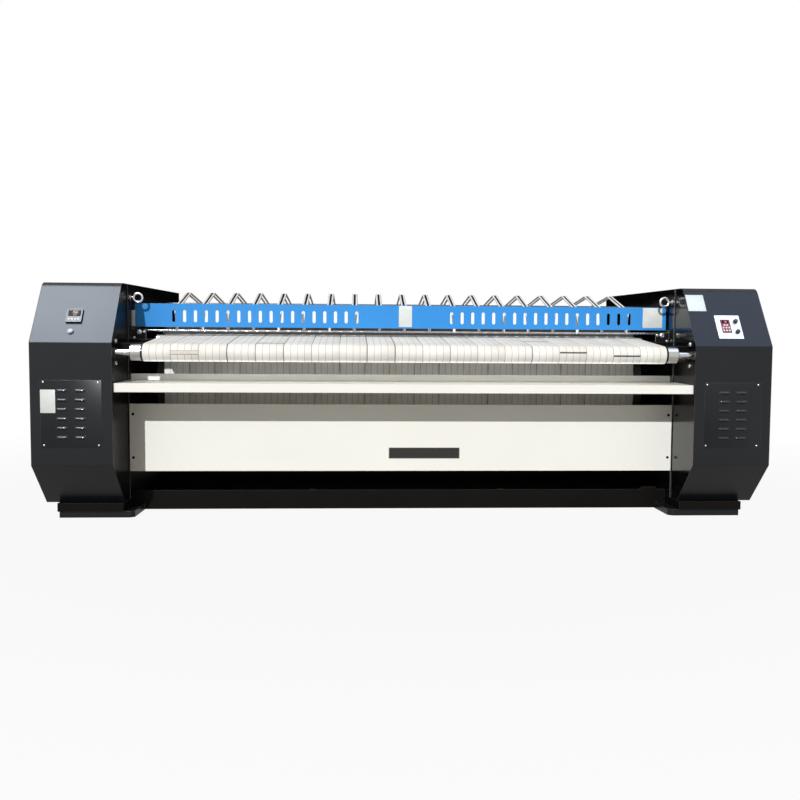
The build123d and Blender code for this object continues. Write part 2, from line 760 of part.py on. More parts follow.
def base_beam(front):
    """A box beam between the frame plates that rests on both foot rails, with a lip below."""
    half = HALF_BAY
    rear = front + BEAM_DEPTH
    beam = block(-half, half, front, rear, FOOT_HEIGHT, BEAM_TOP)
    beam -= block(
        -half - 1,
        half + 1,
        front + BEAM_WALL,
        rear - BEAM_WALL,
        FOOT_HEIGHT + BEAM_WALL,
        BEAM_TOP - BEAM_WALL,
    )
    lip_half = HALF_BAY - FOOT_INBOARD - BEAM_END_GAP
    lip = block(-lip_half, lip_half, front, front + BEAM_WALL, BEAM_FLOOR_GAP, FOOT_HEIGHT)
    return beam + lip


def beam_saddle():
    """The low welded saddle on top of the front beam, near its right end."""
    right = HALF_BAY - SADDLE_FROM_PLATE
    left = right - SADDLE_WIDTH
    top = BEAM_TOP + SADDLE_HEIGHT
    corners = [
        (left, BEAM_TOP),
        (right, BEAM_TOP),
        (right - SADDLE_HEIGHT, top),
        (left + SADDLE_HEIGHT, top),
    ]
    facing = Plane(origin=(0, y_at(BEAM_FRONT), 0), x_dir=(1, 0, 0), z_dir=(0, -1, 0))
    return extrude(facing * make_face(Polyline(*corners, close=True)), amount=-BEAM_DEPTH)


def floor_pan():
    """The dark pan between the base beams, resting on the foot rails, with turned-up sides."""
    half = HALF_BAY - PAN_GAP
    front = BEAM_FRONT + BEAM_DEPTH + PAN_GAP
    rear = DEPTH - BEAM_REAR_MARGIN - PAN_GAP
    pan = block(-half, half, front, rear, FOOT_HEIGHT, FOOT_HEIGHT + SHEET)
    for side in (-1, 1):
        ends = sorted((side * half, side * (half - SHEET)))
        pan += block(*ends, front, rear, FOOT_HEIGHT, FOOT_HEIGHT + PAN_FLANGE)
    return pan


# ---- White sheet work -------------------------------------------------------------------------

SHEET_HALF = HALF_BAY - SHEET_END_GAP


def feed_shelf():
    """The shelf below the feed roller: a front lip, a gently rising top and a rear upstand."""
    top_rear = SHELF_LIP_TOP + SHELF_RISE
    points = [
        (SHELF_FRONT + SHEET + SHELF_RETURN, SHELF_LIP_BOTTOM),
        (SHELF_FRONT, SHELF_LIP_BOTTOM),
        (SHELF_FRONT, SHELF_LIP_TOP),
        (SHELF_REAR - SHEET, top_rear),
        (SHELF_REAR - SHEET, top_rear + SHELF_UPSTAND),
    ]
    return across(folded(points, SHEET), -SHEET_HALF, SHEET_HALF)


def apron(depth, bottom, top, turn):
    """A front or rear apron: turn is +1 where its folded edges run towards the rear."""
    face_rear = depth + turn * SHEET
    sheet = block(-SHEET_HALF, SHEET_HALF, *sorted((depth, face_rear)), bottom, top)
    reach = sorted((face_rear, face_rear + turn * APRON_FLANGE))
    for side in (-1, 1):
        ends = sorted((side * SHEET_HALF, side * (SHEET_HALF - SHEET)))
        sheet += block(*ends, *reach, bottom, top)
    for low in (bottom, top - SHEET):
        sheet += block(-SHEET_HALF, SHEET_HALF, *reach, low, low + SHEET)
    return sheet


def delivery_chute():
    """The sloping sheet behind the rear run of the belts, where the linen slides out."""
    belt_rear = EXIT_CENTRE[0] + EXIT_RADIUS + BELT_CLEARANCE + BELT_THICKNESS
    start = belt_rear + CHUTE_BELT_GAP
    points = [
        (REAR_APRON_DEPTH, APRON_TOP + SHEET + CHUTE_LIP),
        (REAR_APRON_DEPTH, APRON_TOP + SHEET),
        (REAR_APRON_DEPTH - CHUTE_LIP, APRON_TOP + SHEET),
        (start, CHUTE_TOP),
    ]
    return across(folded(points, SHEET), -SHEET_HALF, SHEET_HALF)


def apron_screw_places():
    x = HALF_BAY - APRON_SCREW_INSET
    heights = (APRON_TOP - APRON_SCREW_TOP, APRON_BOTTOM + APRON_SCREW_BOTTOM)
    return [(side * x, height) for side in (-1, 1) for height in heights]


def front_screw(x, depth, height):
    """A domed screw head whose seat is at a depth, facing the front."""
    head = domed_head(SCREW_RADIUS, SCREW_HEAD)
    return Pos(x, y_at(depth - SCREW_HEAD / 2), height) * Rot(90, 0, 0) * head


def nameplate():
    """A bare plate with a raised border."""
    x = NAMEPLATE_OFFSET
    half_w = NAMEPLATE_WIDTH / 2
    half_h = NAMEPLATE_HEIGHT / 2
    rear = PLATE_FRONT
    front = rear - NAMEPLATE_THICKNESS
    low, high = NAMEPLATE_MIDDLE - half_h, NAMEPLATE_MIDDLE + half_h
    plate = block(x - half_w, x + half_w, front, rear, low, high)
    border = NAMEPLATE_BORDER
    plate -= block(
        x - half_w + border,
        x + half_w - border,
        front - 1,
        front + NAMEPLATE_THICKNESS / 3,
        low + border,
        high - border,
    )
    return plate


# ---- Belts ------------------------------------------------------------------------------------


def belt_circles(extra):
    """The belt path as circles; extra is 0 for the inner face of the loop and 1 for the outer."""
    inside = BELT_CLEARANCE + extra * BELT_THICKNESS
    outside = BELT_CLEARANCE + (1 - extra) * BELT_THICKNESS
    return [
        (NIP_CENTRE, NIP_RADIUS + inside, 1),
        (FEED_CENTRE, FEED_RADIUS + inside, 1),
        (SNUB_CENTRE, SNUB_RADIUS + outside, -1),
        (LOWER_FRONT_CENTRE, LOWER_FRONT_RADIUS + inside, 1),
        (LOWER_REAR_CENTRE, LOWER_REAR_RADIUS + inside, 1),
        (EXIT_CENTRE, EXIT_RADIUS + inside, 1),
        (DRUM_CENTRE, DRUM_RADIUS + outside, -1),
    ]


def belt_centres():
    return [(i - (BELT_COUNT - 1) / 2) * BELT_PITCH for i in range(BELT_COUNT)]


def conveyor_belts():
    section = looped(belt_circles(1)) - looped(belt_circles(0))
    belt = across(section, -BELT_WIDTH / 2, BELT_WIDTH / 2)
    return [Pos(x, 0, 0) * belt for x in belt_centres()]


def lacing(x, centre, angle, radius):
    """A flat lacing strip that lies on a belt at an angle round a roller."""
    turn = math.radians(angle)
    reach = radius + BELT_CLEARANCE + BELT_THICKNESS + LACING_CLEARANCE + LACING_THICKNESS / 2
    place = (centre[0] + reach * math.cos(turn), centre[1] + reach * math.sin(turn))
    strip = Box(BELT_WIDTH, LACING_WIDTH, LACING_THICKNESS)
    return Pos(x, y_at(place[0]), place[1]) * Rot(angle - 90, 0, 0) * strip


def run_lacing(x, share, start, end):
    """A flat lacing strip part of the way along a straight run, given by two points."""
    heading = math.atan2(end[1] - start[1], end[0] - start[0])
    reach = LACING_CLEARANCE + LACING_THICKNESS / 2
    depth = start[0] + share * (end[0] - start[0]) + reach * math.sin(heading)
    height = start[1] + share * (end[1] - start[1]) - reach * math.cos(heading)
    strip = Box(BELT_WIDTH, LACING_WIDTH, LACING_THICKNESS)
    return Pos(x, y_at(depth), height) * Rot(math.degrees(heading), 0, 0) * strip


def belt_lacings():
    """One lacing for each belt. A few show at the feed roller; the rest lie on the bottom run."""
    circles = belt_circles(1)
    top_start, top_end = tangent(circles[0], circles[1])
    low_start, low_end = tangent(circles[3], circles[4])
    strips = []
    for i, x in enumerate(belt_centres()):
        if i in LACING_ON_ROLLER:
            strips.append(lacing(x, FEED_CENTRE, LACING_ON_ROLLER[i], FEED_RADIUS))
        elif i in LACING_ON_TOP_RUN:
            strips.append(run_lacing(x, LACING_ON_TOP_RUN[i], top_start, top_end))
        else:
            stagger = ((i * LACING_SKIP_COUNT) % BELT_COUNT) / BELT_COUNT
            share = LACING_FIRST_SHARE + (LACING_LAST_SHARE - LACING_FIRST_SHARE) * stagger
            strips.append(run_lacing(x, share, low_start, low_end))
    return strips


# ---- Drum and rollers -------------------------------------------------------------------------


def drum_shell():
    """The drum's shell with its end plates, bored for the journals."""
    drum = disc(DRUM_CENTRE, DRUM_RADIUS, -DRUM_HALF_LENGTH, DRUM_HALF_LENGTH)
    inside = DRUM_HALF_LENGTH - DRUM_END_PLATE
    drum -= disc(DRUM_CENTRE, DRUM_RADIUS - DRUM_WALL, -inside, inside)
    return drum - disc(DRUM_CENTRE, JOURNAL_RADIUS, -DRUM_HALF_LENGTH - 1, DRUM_HALF_LENGTH + 1)


def drive_journal():
    """The right-hand journal, let into its end plate."""
    return disc(DRUM_CENTRE, JOURNAL_RADIUS, DRUM_HALF_LENGTH - DRUM_END_PLATE, JOURNAL_END)


def steam_journal():
    """The left-hand journal, bored for the steam, with a nose for the steam joint."""
    nose_end = -JOURNAL_END - STEAM_NOSE_LENGTH
    journal = mirrored(drive_journal())
    journal += disc(DRUM_CENTRE, STEAM_NOSE_RADIUS, nose_end, -JOURNAL_END)
    return journal - disc(DRUM_CENTRE, STEAM_BORE_RADIUS, nose_end - 1, 0)


def roller(centre, radius, shaft_end):
    """A tube with end discs and stub shafts; a vent hole in each disc opens the tube."""
    half = ROLLER_HALF_LENGTH
    body = chamfer(disc(centre, radius, -half, half).edges(), ROLLER_END_CHAMFER)
    inside = half - ROLLER_DISC
    body -= disc(centre, radius - ROLLER_WALL, -inside, inside)
    vent_drop = (SHAFT_RADIUS + radius - ROLLER_WALL) / 2
    vent = (centre[0], centre[1] - vent_drop)
    vent_radius = min(ROLLER_VENT_RADIUS, (radius - ROLLER_WALL - SHAFT_RADIUS) / 3)
    for side in (-1, 1):
        body += disc(centre, SHAFT_RADIUS, *sorted((side * inside, side * shaft_end)))
        body -= disc(vent, vent_radius, *sorted((side * (inside - 1), side * (half + 1))))
    return body


# ---- Bearings and bolts -----------------------------------------------------------------------


def take_up_bolts():
    """The two bolts of a feed roller's bearing block, behind and either side of the shaft."""
    depth = FEED_DEPTH + TAKE_UP_BOLT_SETBACK
    half = BEARING_BOLT_SPACING / 2
    return [(depth, FEED_HEIGHT + side * half) for side in (-1, 1)]


def take_up_bearing():
    """The bearing block of the feed roller, bolted to the outboard side of the inner wall."""
    front = FEED_DEPTH - TAKE_UP_MARGIN
    rear = FEED_DEPTH + TAKE_UP_BOLT_SETBACK + TAKE_UP_MARGIN
    low = FEED_HEIGHT - TAKE_UP_HEIGHT / 2
    x0, x1 = WALL_OUTER_X, WALL_OUTER_X + BEARING_FLANGE
    body = block(x0, x1, front, rear, low, low + TAKE_UP_HEIGHT)
    body += disc(FEED_CENTRE, BEARING_HUB_RADIUS, x0, x0 + BEARING_LENGTH)
    body -= disc(FEED_CENTRE, SHAFT_RADIUS + RUNNING_CLEARANCE, x0 - 1, x0 + BEARING_LENGTH + 1)
    for centre in take_up_bolts():
        body -= disc(centre, BOLT_SHANK_RADIUS + BOLT_CLEARANCE, x0 - 1, x1 + 1)
    return body


def flange_bearing(centre):
    """A two-bolt flange bearing on the outboard face of the frame plate."""
    half = BEARING_BOLT_SPACING / 2
    lower_ear = ((0, -half), BEARING_EAR_RADIUS, 1)
    upper_ear = ((0, half), BEARING_EAR_RADIUS, 1)
    hub = ((0, 0), BEARING_HUB_RADIUS, 1)
    flange = looped([lower_ear, hub, upper_ear, hub])
    x0 = PLATE_OUTER_X
    body = across(Pos(*centre) * flange, x0, x0 + BEARING_FLANGE)
    body += disc(centre, BEARING_HUB_RADIUS, x0, x0 + BEARING_LENGTH)
    body -= disc(centre, SHAFT_RADIUS + RUNNING_CLEARANCE, x0 - 1, x0 + BEARING_LENGTH + 1)
    return body


def drum_bearing():
    """A four-bolt flange bearing for one journal."""
    x0 = PLATE_OUTER_X
    flange = Pos(*DRUM_CENTRE) * RectangleRounded(DRUM_BEARING_SIDE, DRUM_BEARING_SIDE, DRUM_BEARING_CORNER)
    body = across(flange, x0, x0 + DRUM_BEARING_FLANGE)
    body += disc(DRUM_CENTRE, DRUM_BEARING_HUB_RADIUS, x0, x0 + DRUM_BEARING_LENGTH)
    bore = JOURNAL_RADIUS + RUNNING_CLEARANCE
    body -= disc(DRUM_CENTRE, bore, x0 - 1, x0 + DRUM_BEARING_LENGTH + 1)
    return body


def side_bolt(centre, x, turn):
    """A domed bolt head seated at x; turn is +1 where it faces outboard on the right side."""
    head = domed_head(BOLT_RADIUS, BOLT_HEAD)
    place = Pos(x + turn * BOLT_HEAD / 2, y_at(centre[0]), centre[1])
    return place * Rot(0, 90 * turn, 0) * head


def take_up_bolt(centre):
    """A bolt through the inner wall and the take-up bearing, with its head on the wall."""
    head = side_bolt(centre, WALL_X, -1)
    shank_end = WALL_OUTER_X + BEARING_FLANGE
    return head + disc(centre, BOLT_SHANK_RADIUS, WALL_X, shank_end)


def bracket_bolt(inboard, height):
    """A bolt head on the front of the right-hand rod bracket."""
    head = domed_head(BOLT_RADIUS, BOLT_HEAD)
    seat = BRACKET_FRONT - BOLT_HEAD / 2
    return Pos(HALF_BAY - inboard, y_at(seat), height) * Rot(90, 0, 0) * head


def right_bolts():
    """Every bolt of the right-hand end."""
    bolts = [take_up_bolt(centre) for centre in take_up_bolts()]
    half = BEARING_BOLT_SPACING / 2
    for centre in PLATE_ROLLER_CENTRES:
        for side in (-1, 1):
            seat = PLATE_OUTER_X + BEARING_FLANGE
            bolts.append(side_bolt((centre[0], centre[1] + side * half), seat, 1))
    reach = DRUM_BEARING_SIDE / 2 - DRUM_BEARING_BOLT_INSET
    for back in (-1, 1):
        for up in (-1, 1):
            place = (DRUM_DEPTH + back * reach, DRUM_HEIGHT + up * reach)
            bolts.append(side_bolt(place, PLATE_OUTER_X + DRUM_BEARING_FLANGE, 1))
    middle = (BRACKET_BOTTOM + BRACKET_TOP) / 2
    for i in range(BRACKET_BOLTS):
        rise = BRACKET_BOLT_RISE if i else -BRACKET_BOLT_DROP
        bolts.append(bracket_bolt(BRACKET_BOLT_INSET + i * BRACKET_BOLT_PITCH, middle + rise))
    return bolts


# ---- Chain drive ------------------------------------------------------------------------------


def pitch_radius(teeth):
    return CHAIN_PITCH / (2 * math.sin(math.pi / teeth))


def toothed_disc(teeth):
    """A sprocket's outline about its own centre."""
    radius = pitch_radius(teeth)
    tip, foot = TOOTH_TIP_SHARE, TOOTH_FOOT_SHARE
    profile = [(-foot, -TOOTH_ROOT), (-tip, TOOTH_RISE), (tip, TOOTH_RISE), (foot, -TOOTH_ROOT)]
    points = []
    for i in range(teeth):
        for share, rise in profile:
            angle = 2 * math.pi * (i + share) / teeth
            points.append(((radius + rise) * math.cos(angle), (radius + rise) * math.sin(angle)))
    return make_face(Polyline(*points, close=True))


def drum_sprocket():
    """The sprocket on the right-hand journal, with its hub."""
    half, half_hub = TOOTH_WIDTH / 2, SPROCKET_HUB_LENGTH / 2
    body = across(Pos(*DRUM_CENTRE) * toothed_disc(DRUM_TEETH), SPROCKET_X - half, SPROCKET_X + half)
    hub = JOURNAL_RADIUS + SPROCKET_HUB_WALL
    body += disc(DRUM_CENTRE, hub, SPROCKET_X - half_hub, SPROCKET_X + half_hub)
    bore = JOURNAL_RADIUS + RUNNING_CLEARANCE
    body -= disc(DRUM_CENTRE, bore, SPROCKET_X - half_hub - 1, SPROCKET_X + half_hub + 1)
    return body


def drive_sprocket():
    """The motor's sprocket on the gearbox's output shaft."""
    half = TOOTH_WIDTH / 2
    body = across(Pos(*MOTOR_CENTRE) * toothed_disc(MOTOR_TEETH), SPROCKET_X - half, SPROCKET_X + half)
    body += disc(MOTOR_CENTRE, MOTOR_SHAFT_RADIUS, SPROCKET_X - half, GEARBOX_X + GEARBOX_LENGTH / 2)
    return body


def drive_chain():
    """The chain as its two rows of side plates round both sprockets, joined by pins."""
    plates = []
    for offset_height in (CHAIN_PLATE_HEIGHT / 2, -CHAIN_PLATE_HEIGHT / 2):
        plates.append(
            looped(
                [
                    (DRUM_CENTRE, pitch_radius(DRUM_TEETH) + offset_height, 1),
                    (MOTOR_CENTRE, pitch_radius(MOTOR_TEETH) + offset_height, 1),
                ]
            )
        )
    section = plates[0] - plates[1]
    start = TOOTH_WIDTH / 2 + CHAIN_PLATE_GAP
    chain = across(section, SPROCKET_X + start, SPROCKET_X + start + CHAIN_PLATE)
    chain += across(section, SPROCKET_X - start - CHAIN_PLATE, SPROCKET_X - start)
    drum = (DRUM_CENTRE, pitch_radius(DRUM_TEETH), 1)
    motor = (MOTOR_CENTRE, pitch_radius(MOTOR_TEETH), 1)
    for leave, meet in (tangent(drum, motor), tangent(motor, drum)):
        length = math.hypot(meet[0] - leave[0], meet[1] - leave[1])
        for i in range(CHAIN_FREE_PITCHES, int(length / CHAIN_PITCH) - CHAIN_FREE_PITCHES + 1):
            share = i * CHAIN_PITCH / length
            place = (
                leave[0] + share * (meet[0] - leave[0]),
                leave[1] + share * (meet[1] - leave[1]),
            )
            chain += disc(place, CHAIN_PIN_RADIUS, SPROCKET_X - start, SPROCKET_X + start)
    return chain


def gear_motor():
    """The geared motor on its stand, bored for the output shaft."""
    half = GEARBOX_SIDE / 2
    x0, x1 = GEARBOX_X, GEARBOX_X + GEARBOX_LENGTH
    low = MOTOR_HEIGHT - half
    body = block(x0, x1, MOTOR_DEPTH - half, MOTOR_DEPTH + half, low, MOTOR_HEIGHT + half)
    body += block(x0, x1, MOTOR_DEPTH - half, MOTOR_DEPTH + half, SKIRT_HEIGHT, low)
    barrel = Cylinder(MOTOR_RADIUS, MOTOR_LENGTH, rotation=(90, 0, 0))
    middle = MOTOR_DEPTH + half + MOTOR_LENGTH / 2
    body += Pos((x0 + x1) / 2, y_at(middle), MOTOR_HEIGHT) * barrel
    bore = MOTOR_SHAFT_RADIUS + RUNNING_CLEARANCE
    body -= disc(MOTOR_CENTRE, bore, x0 - 1, x0 + GEARBOX_LENGTH / 2 + 1)
    return body


# ---- Steam supply -----------------------------------------------------------------------------


def rotary_steam_joint():
    """The fixed joint over the left journal's nose, with a flat boss above and below."""
    x0 = -(JOURNAL_END + ROTARY_JOINT_GAP)
    x1 = x0 - ROTARY_JOINT_LENGTH
    body = disc(DRUM_CENTRE, ROTARY_JOINT_RADIUS, x1, x0)
    boss_height = 2 * (ROTARY_JOINT_RADIUS + ROTARY_BOSS_PROUD)
    boss = Cylinder(PIPE_RADIUS + ROTARY_BOSS_WALL, boss_height)
    body += Pos(-STEAM_PIPE_X, y_at(DRUM_DEPTH), DRUM_HEIGHT) * boss
    nose = STEAM_NOSE_LENGTH + ROTARY_JOINT_POCKET
    body -= disc(DRUM_CENTRE, STEAM_NOSE_RADIUS + RUNNING_CLEARANCE, x0 - nose, x0 + 1)
    bore = Cylinder(PIPE_RADIUS - PIPE_WALL, boss_height + 1)
    body -= Pos(-STEAM_PIPE_X, y_at(DRUM_DEPTH), DRUM_HEIGHT) * bore
    return body


def steam_pipe(turn):
    """A pipe from the joint's boss to its spigot at the rear: turn is +1 for the upper one."""
    x = -STEAM_PIPE_X
    start = DRUM_HEIGHT + turn * (ROTARY_JOINT_RADIUS + ROTARY_BOSS_PROUD)
    corner = DRUM_HEIGHT + turn * (ROTARY_JOINT_RADIUS + PIPE_RISE)
    path = FilletPolyline(
        (x, y_at(DRUM_DEPTH), start),
        (x, y_at(DRUM_DEPTH), corner),
        (x, y_at(DEPTH + PIPE_PROUD), corner),
        radius=PIPE_BEND,
    )
    ring = Circle(PIPE_RADIUS) - Circle(PIPE_RADIUS - PIPE_WALL)
    section = Plane(origin=path @ 0, z_dir=path % 0) * ring
    pipe = sweep(section, path=path)
    neck = Cylinder(PIPE_RADIUS + 1, PIPE_NECK) - Cylinder(PIPE_RADIUS - PIPE_NECK_DEPTH, PIPE_NECK)
    middle = DEPTH + PIPE_NECK_GAP + PIPE_NECK / 2
    return pipe - Pos(x, y_at(middle), corner) * Rot(90, 0, 0) * neck


# ---- Feed bed ---------------------------------------------------------------------------------


def bed_frame():
    """The bed's own axes: where the belts' top run leaves the feed roller, and its direction."""
    circles = belt_circles(0)
    rear, front = tangent(circles[0], circles[1])
    length = math.hypot(rear[0] - front[0], rear[1] - front[1])
    return front, ((rear[0] - front[0]) / length, (rear[1] - front[1]) / length), length


def on_bed(along, below):
    """A point of the side view given along the top run and below the belts' inner face."""
    front, heading, length = bed_frame()
    drop = below + BELT_CLEARANCE
    return (
        front[0] + along * heading[0] + drop * heading[1],
        front[1] + along * heading[1] - drop * heading[0],
    )


def feed_bed():
    """The plate that carries the top run, with both long edges folded down."""
    length = bed_frame()[2]
    first, last = BED_END_SETBACK, length - BED_END_SETBACK
    corners = [
        on_bed(first, 0),
        on_bed(last, 0),
        on_bed(last, BED_LIP),
        on_bed(last - BED_SHEET, BED_LIP),
        on_bed(last - BED_SHEET, BED_SHEET),
        on_bed(first + BED_SHEET, BED_SHEET),
        on_bed(first + BED_SHEET, BED_LIP),
        on_bed(first, BED_LIP),
    ]
    return across(make_face(Polyline(*corners, close=True)), -HALF_WORK, HALF_WORK)


def bed_tube(along, half_length):
    """A square tube under the bed that reaches both walls."""

    def ring_corners(margin):
        half = BED_TUBE / 2 - margin
        top, bottom = BED_SHEET + margin, BED_SHEET + BED_TUBE - margin
        return [
            on_bed(along - half, top),
            on_bed(along + half, top),
            on_bed(along + half, bottom),
            on_bed(along - half, bottom),
        ]

    section = make_face(Polyline(*ring_corners(0), close=True))
    section -= make_face(Polyline(*ring_corners(BED_TUBE_WALL), close=True))
    return across(section, -half_length, half_length)


# ---- Guide wires ------------------------------------------------------------------------------


def guide_wire(x):
    """One wire: hooked under the front rod, up over the peak and hooked under the rear rod."""
    hook = ROD_RADIUS + WIRE_RADIUS + WIRE_CLEARANCE
    front = ((FRONT_ROD_DEPTH, FRONT_ROD_HEIGHT), hook, -1)
    peak = ((WIRE_PEAK_DEPTH, WIRE_PEAK_HEIGHT), WIRE_PEAK_BEND, -1)
    rear = ((REAR_ROD_DEPTH, REAR_ROD_HEIGHT), hook, -1)
    rise = tangent(front, peak)
    fall = tangent(peak, rear)
    start = (FRONT_ROD_DEPTH, FRONT_ROD_HEIGHT - hook)
    end = (REAR_ROD_DEPTH, REAR_ROD_HEIGHT - hook)
    edges = [
        arc_round(front, start, rise[0]),
        Line(*rise),
        arc_round(peak, rise[1], fall[0]),
        Line(*fall),
        arc_round(rear, fall[1], end),
    ]
    path = side_view(x) * Wire(edges)
    section = Plane(origin=path @ 0, z_dir=path % 0) * Circle(WIRE_RADIUS)
    return sweep(section, path=path)


def guide_wires():
    wire = guide_wire(0)
    places = []
    for x in belt_centres():
        places.append(x - WIRE_SPREAD / 2)
        places.append(x + WIRE_SPREAD / 2)
    return [Pos(x, 0, 0) * wire for x in places]


def wire_rods():
    ends = (-HALF_BAY, HALF_BAY)
    front_ends = (-HALF_BAY + BRACKET_SHEET, HALF_BAY - BRACKET_SHEET)
    return [
        disc((FRONT_ROD_DEPTH, FRONT_ROD_HEIGHT), ROD_RADIUS, *front_ends),
        disc((REAR_ROD_DEPTH, REAR_ROD_HEIGHT), ROD_RADIUS, *ends),
    ]


def rod_bracket():
    """The right-hand bracket of the front rod: a leg on the frame plate and one facing forward."""
    rear = FRONT_ROD_DEPTH + BRACKET_REAR_MARGIN
    top = FRONT_ROD_HEIGHT + BRACKET_REAR_MARGIN
    side = block(HALF_BAY - BRACKET_SHEET, HALF_BAY, BRACKET_FRONT, rear, BRACKET_BOTTOM, top)
    front = block(
        HALF_BAY - BRACKET_REACH,
        HALF_BAY,
        BRACKET_FRONT,
        BRACKET_FRONT + BRACKET_SHEET,
        BRACKET_BOTTOM,
        BRACKET_TOP,
    )
    return side + front


# ---- Finger guard -----------------------------------------------------------------------------


def guard_panel():
    """The slotted guard: a channel with end plates that carry its pins."""
    half = GUARD_HALF_LENGTH
    front, low, high = GUARD_DEPTH, GUARD_BOTTOM, GUARD_TOP
    panel = block(-half, half, front, front + SHEET, low, high)
    slot = Rot(0, 0, 90) * SlotOverall(GUARD_SLOT_LENGTH, GUARD_SLOT_WIDTH)
    facing = Plane(origin=(0, y_at(front) - 1, 0), x_dir=(1, 0, 0), z_dir=(0, -1, 0))
    for side in (-1, 1):
        for i in range(GUARD_SLOTS_PER_SIDE):
            x = side * (GUARD_FIRST_SLOT + i * GUARD_SLOT_PITCH)
            panel -= extrude(facing * Pos(x, GUARD_SLOT_MIDDLE) * slot, amount=-SHEET - 2)
    panel += block(-half, half, front, front + GUARD_TOP_FLANGE, high - SHEET, high)
    panel += block(-half, half, front, front + GUARD_BOTTOM_FLANGE, low, low + SHEET)
    for side in (-1, 1):
        ends = sorted((side * (half - SHEET), side * half))
        end_low = GUARD_AXIS[1] - GUARD_PIN_DROP
        panel += block(*ends, front, front + GUARD_TOP_FLANGE, end_low, high)
        hole = sorted((side * (half - SHEET - 1), side * (half + 1)))
        panel -= disc(GUARD_AXIS, GUARD_PIN_RADIUS + BOLT_CLEARANCE, *hole)
    return panel


def guard_pin():
    """The right-hand pin, headed on the inside of the guard's end plate."""
    head_x = GUARD_HALF_LENGTH - SHEET
    head = disc(GUARD_AXIS, GUARD_PIN_RADIUS + GUARD_PIN_RIM, head_x - GUARD_PIN_HEAD, head_x)
    return head + disc(GUARD_AXIS, GUARD_PIN_RADIUS, head_x, HALF_BAY - GUARD_BOSS_GAP)


def guard_boss():
    """The right-hand boss on the frame plate that the pin turns in."""
    x0 = GUARD_HALF_LENGTH + GUARD_BOSS_GAP
    boss = disc(GUARD_AXIS, GUARD_BOSS_RADIUS, x0, HALF_BAY)
    return boss - disc(GUARD_AXIS, GUARD_PIN_RADIUS + RUNNING_CLEARANCE, x0 - 1, HALF_BAY + 1)


def guard_sensor():
    """The sensor bar on the left frame plate, just in front of the guard's end."""
    rear = GUARD_DEPTH - SENSOR_GUARD_GAP
    return block(
        -HALF_BAY,
        -HALF_BAY + SENSOR_WIDTH,
        rear - SENSOR_THICKNESS,
        rear,
        SENSOR_BOTTOM,
        SENSOR_BOTTOM + SENSOR_HEIGHT,
    )


# ---- Lifting eyebolts -------------------------------------------------------------------------


def eyebolt():
    """The right-hand eyebolt: its ring stands inboard of the plate, and its nut is outboard."""
    centre = (EYE_DEPTH, EYE_HEIGHT)
    ring_x = HALF_BAY - EYE_INBOARD
    ring = Torus(EYE_RING_RADIUS, EYE_ROD_RADIUS, rotation=(90, 0, 0))
    body = Pos(ring_x, y_at(EYE_DEPTH), EYE_HEIGHT) * ring
    body += disc(centre, EYE_SHANK_RADIUS, ring_x + EYE_RING_RADIUS, PLATE_OUTER_X + EYE_NUT)
    body += disc(centre, EYE_COLLAR_RADIUS, HALF_BAY - EYE_COLLAR, HALF_BAY)
    nut = across(Pos(*centre) * RegularPolygon(EYE_NUT_RADIUS, 6), PLATE_OUTER_X, PLATE_OUTER_X + EYE_NUT)
    return body + nut


# ---- Instruments ------------------------------------------------------------------------------


def temperature_controller():
    """The panel instrument on the left slope: a rimmed bezel and the case behind it."""
    x, up = -(HALF_BAY + CONTROLLER_OUTBOARD), CONTROLLER_UP
    outline = RectangleRounded(CONTROLLER_WIDTH, CONTROLLER_HEIGHT, CONTROLLER_CORNER)
    rim = 2 * CONTROLLER_RIM
    face = Rectangle(CONTROLLER_WIDTH - rim, CONTROLLER_HEIGHT - rim)
    inset = 2 * CONTROLLER_BODY_INSET
    case = Rectangle(CONTROLLER_WIDTH - inset, CONTROLLER_HEIGHT - inset)
    body = on_slope(outline, x, up, 0, CONTROLLER_PROUD)
    body -= on_slope(face, x, up, CONTROLLER_PROUD - CONTROLLER_RECESS, CONTROLLER_PROUD + 1)
    return body + on_slope(case, x, up, -CONTROLLER_BODY_DEPTH, 0)


def selector_collar():
    """The round collar of the key switch."""
    collar = on_slope(Circle(SELECTOR_RADIUS), SELECTOR_X, SELECTOR_UP, 0, SELECTOR_PROUD)
    bore = Circle(SELECTOR_ROTOR_RADIUS + RUNNING_CLEARANCE)
    return collar - on_slope(bore, SELECTOR_X, SELECTOR_UP, -1, SELECTOR_PROUD + 1)


def selector_key():
    """The turning barrel of the key switch, with its key slot."""
    barrel = Circle(SELECTOR_ROTOR_RADIUS)
    body = on_slope(barrel, SELECTOR_X, SELECTOR_UP, -SELECTOR_STEM_LENGTH, SELECTOR_ROTOR_PROUD)
    slot = Rectangle(SELECTOR_SLOT, SELECTOR_ROTOR_RADIUS)
    return body - on_slope(slot, SELECTOR_X, SELECTOR_UP, 0, SELECTOR_ROTOR_PROUD + 1)


def control_plate():
    """The bright plate on the right slope, bored for the knob and the button."""
    x = HALF_BAY + CONTROL_OUTBOARD
    outline = RectangleRounded(CONTROL_WIDTH, CONTROL_HEIGHT, CONTROL_CORNER)
    plate = on_slope(outline, x, CONTROL_UP, 0, CONTROL_THICKNESS)
    for up, radius in ((KNOB_UP, KNOB_STEM_RADIUS), (BUTTON_UP, BUTTON_STEM_RADIUS)):
        bore = Circle(radius + RUNNING_CLEARANCE)
        plate -= on_slope(bore, BUTTON_X, up, -1, CONTROL_THICKNESS + 1)
    return plate


def keypad():
    """The flat membrane keypad and display window."""
    outline = RectangleRounded(KEYPAD_WIDTH, KEYPAD_HEIGHT, CONTROL_CORNER)
    top = CONTROL_THICKNESS + KEYPAD_THICKNESS
    return on_slope(outline, HALF_BAY + KEYPAD_OUTBOARD, KEYPAD_UP, CONTROL_THICKNESS, top)


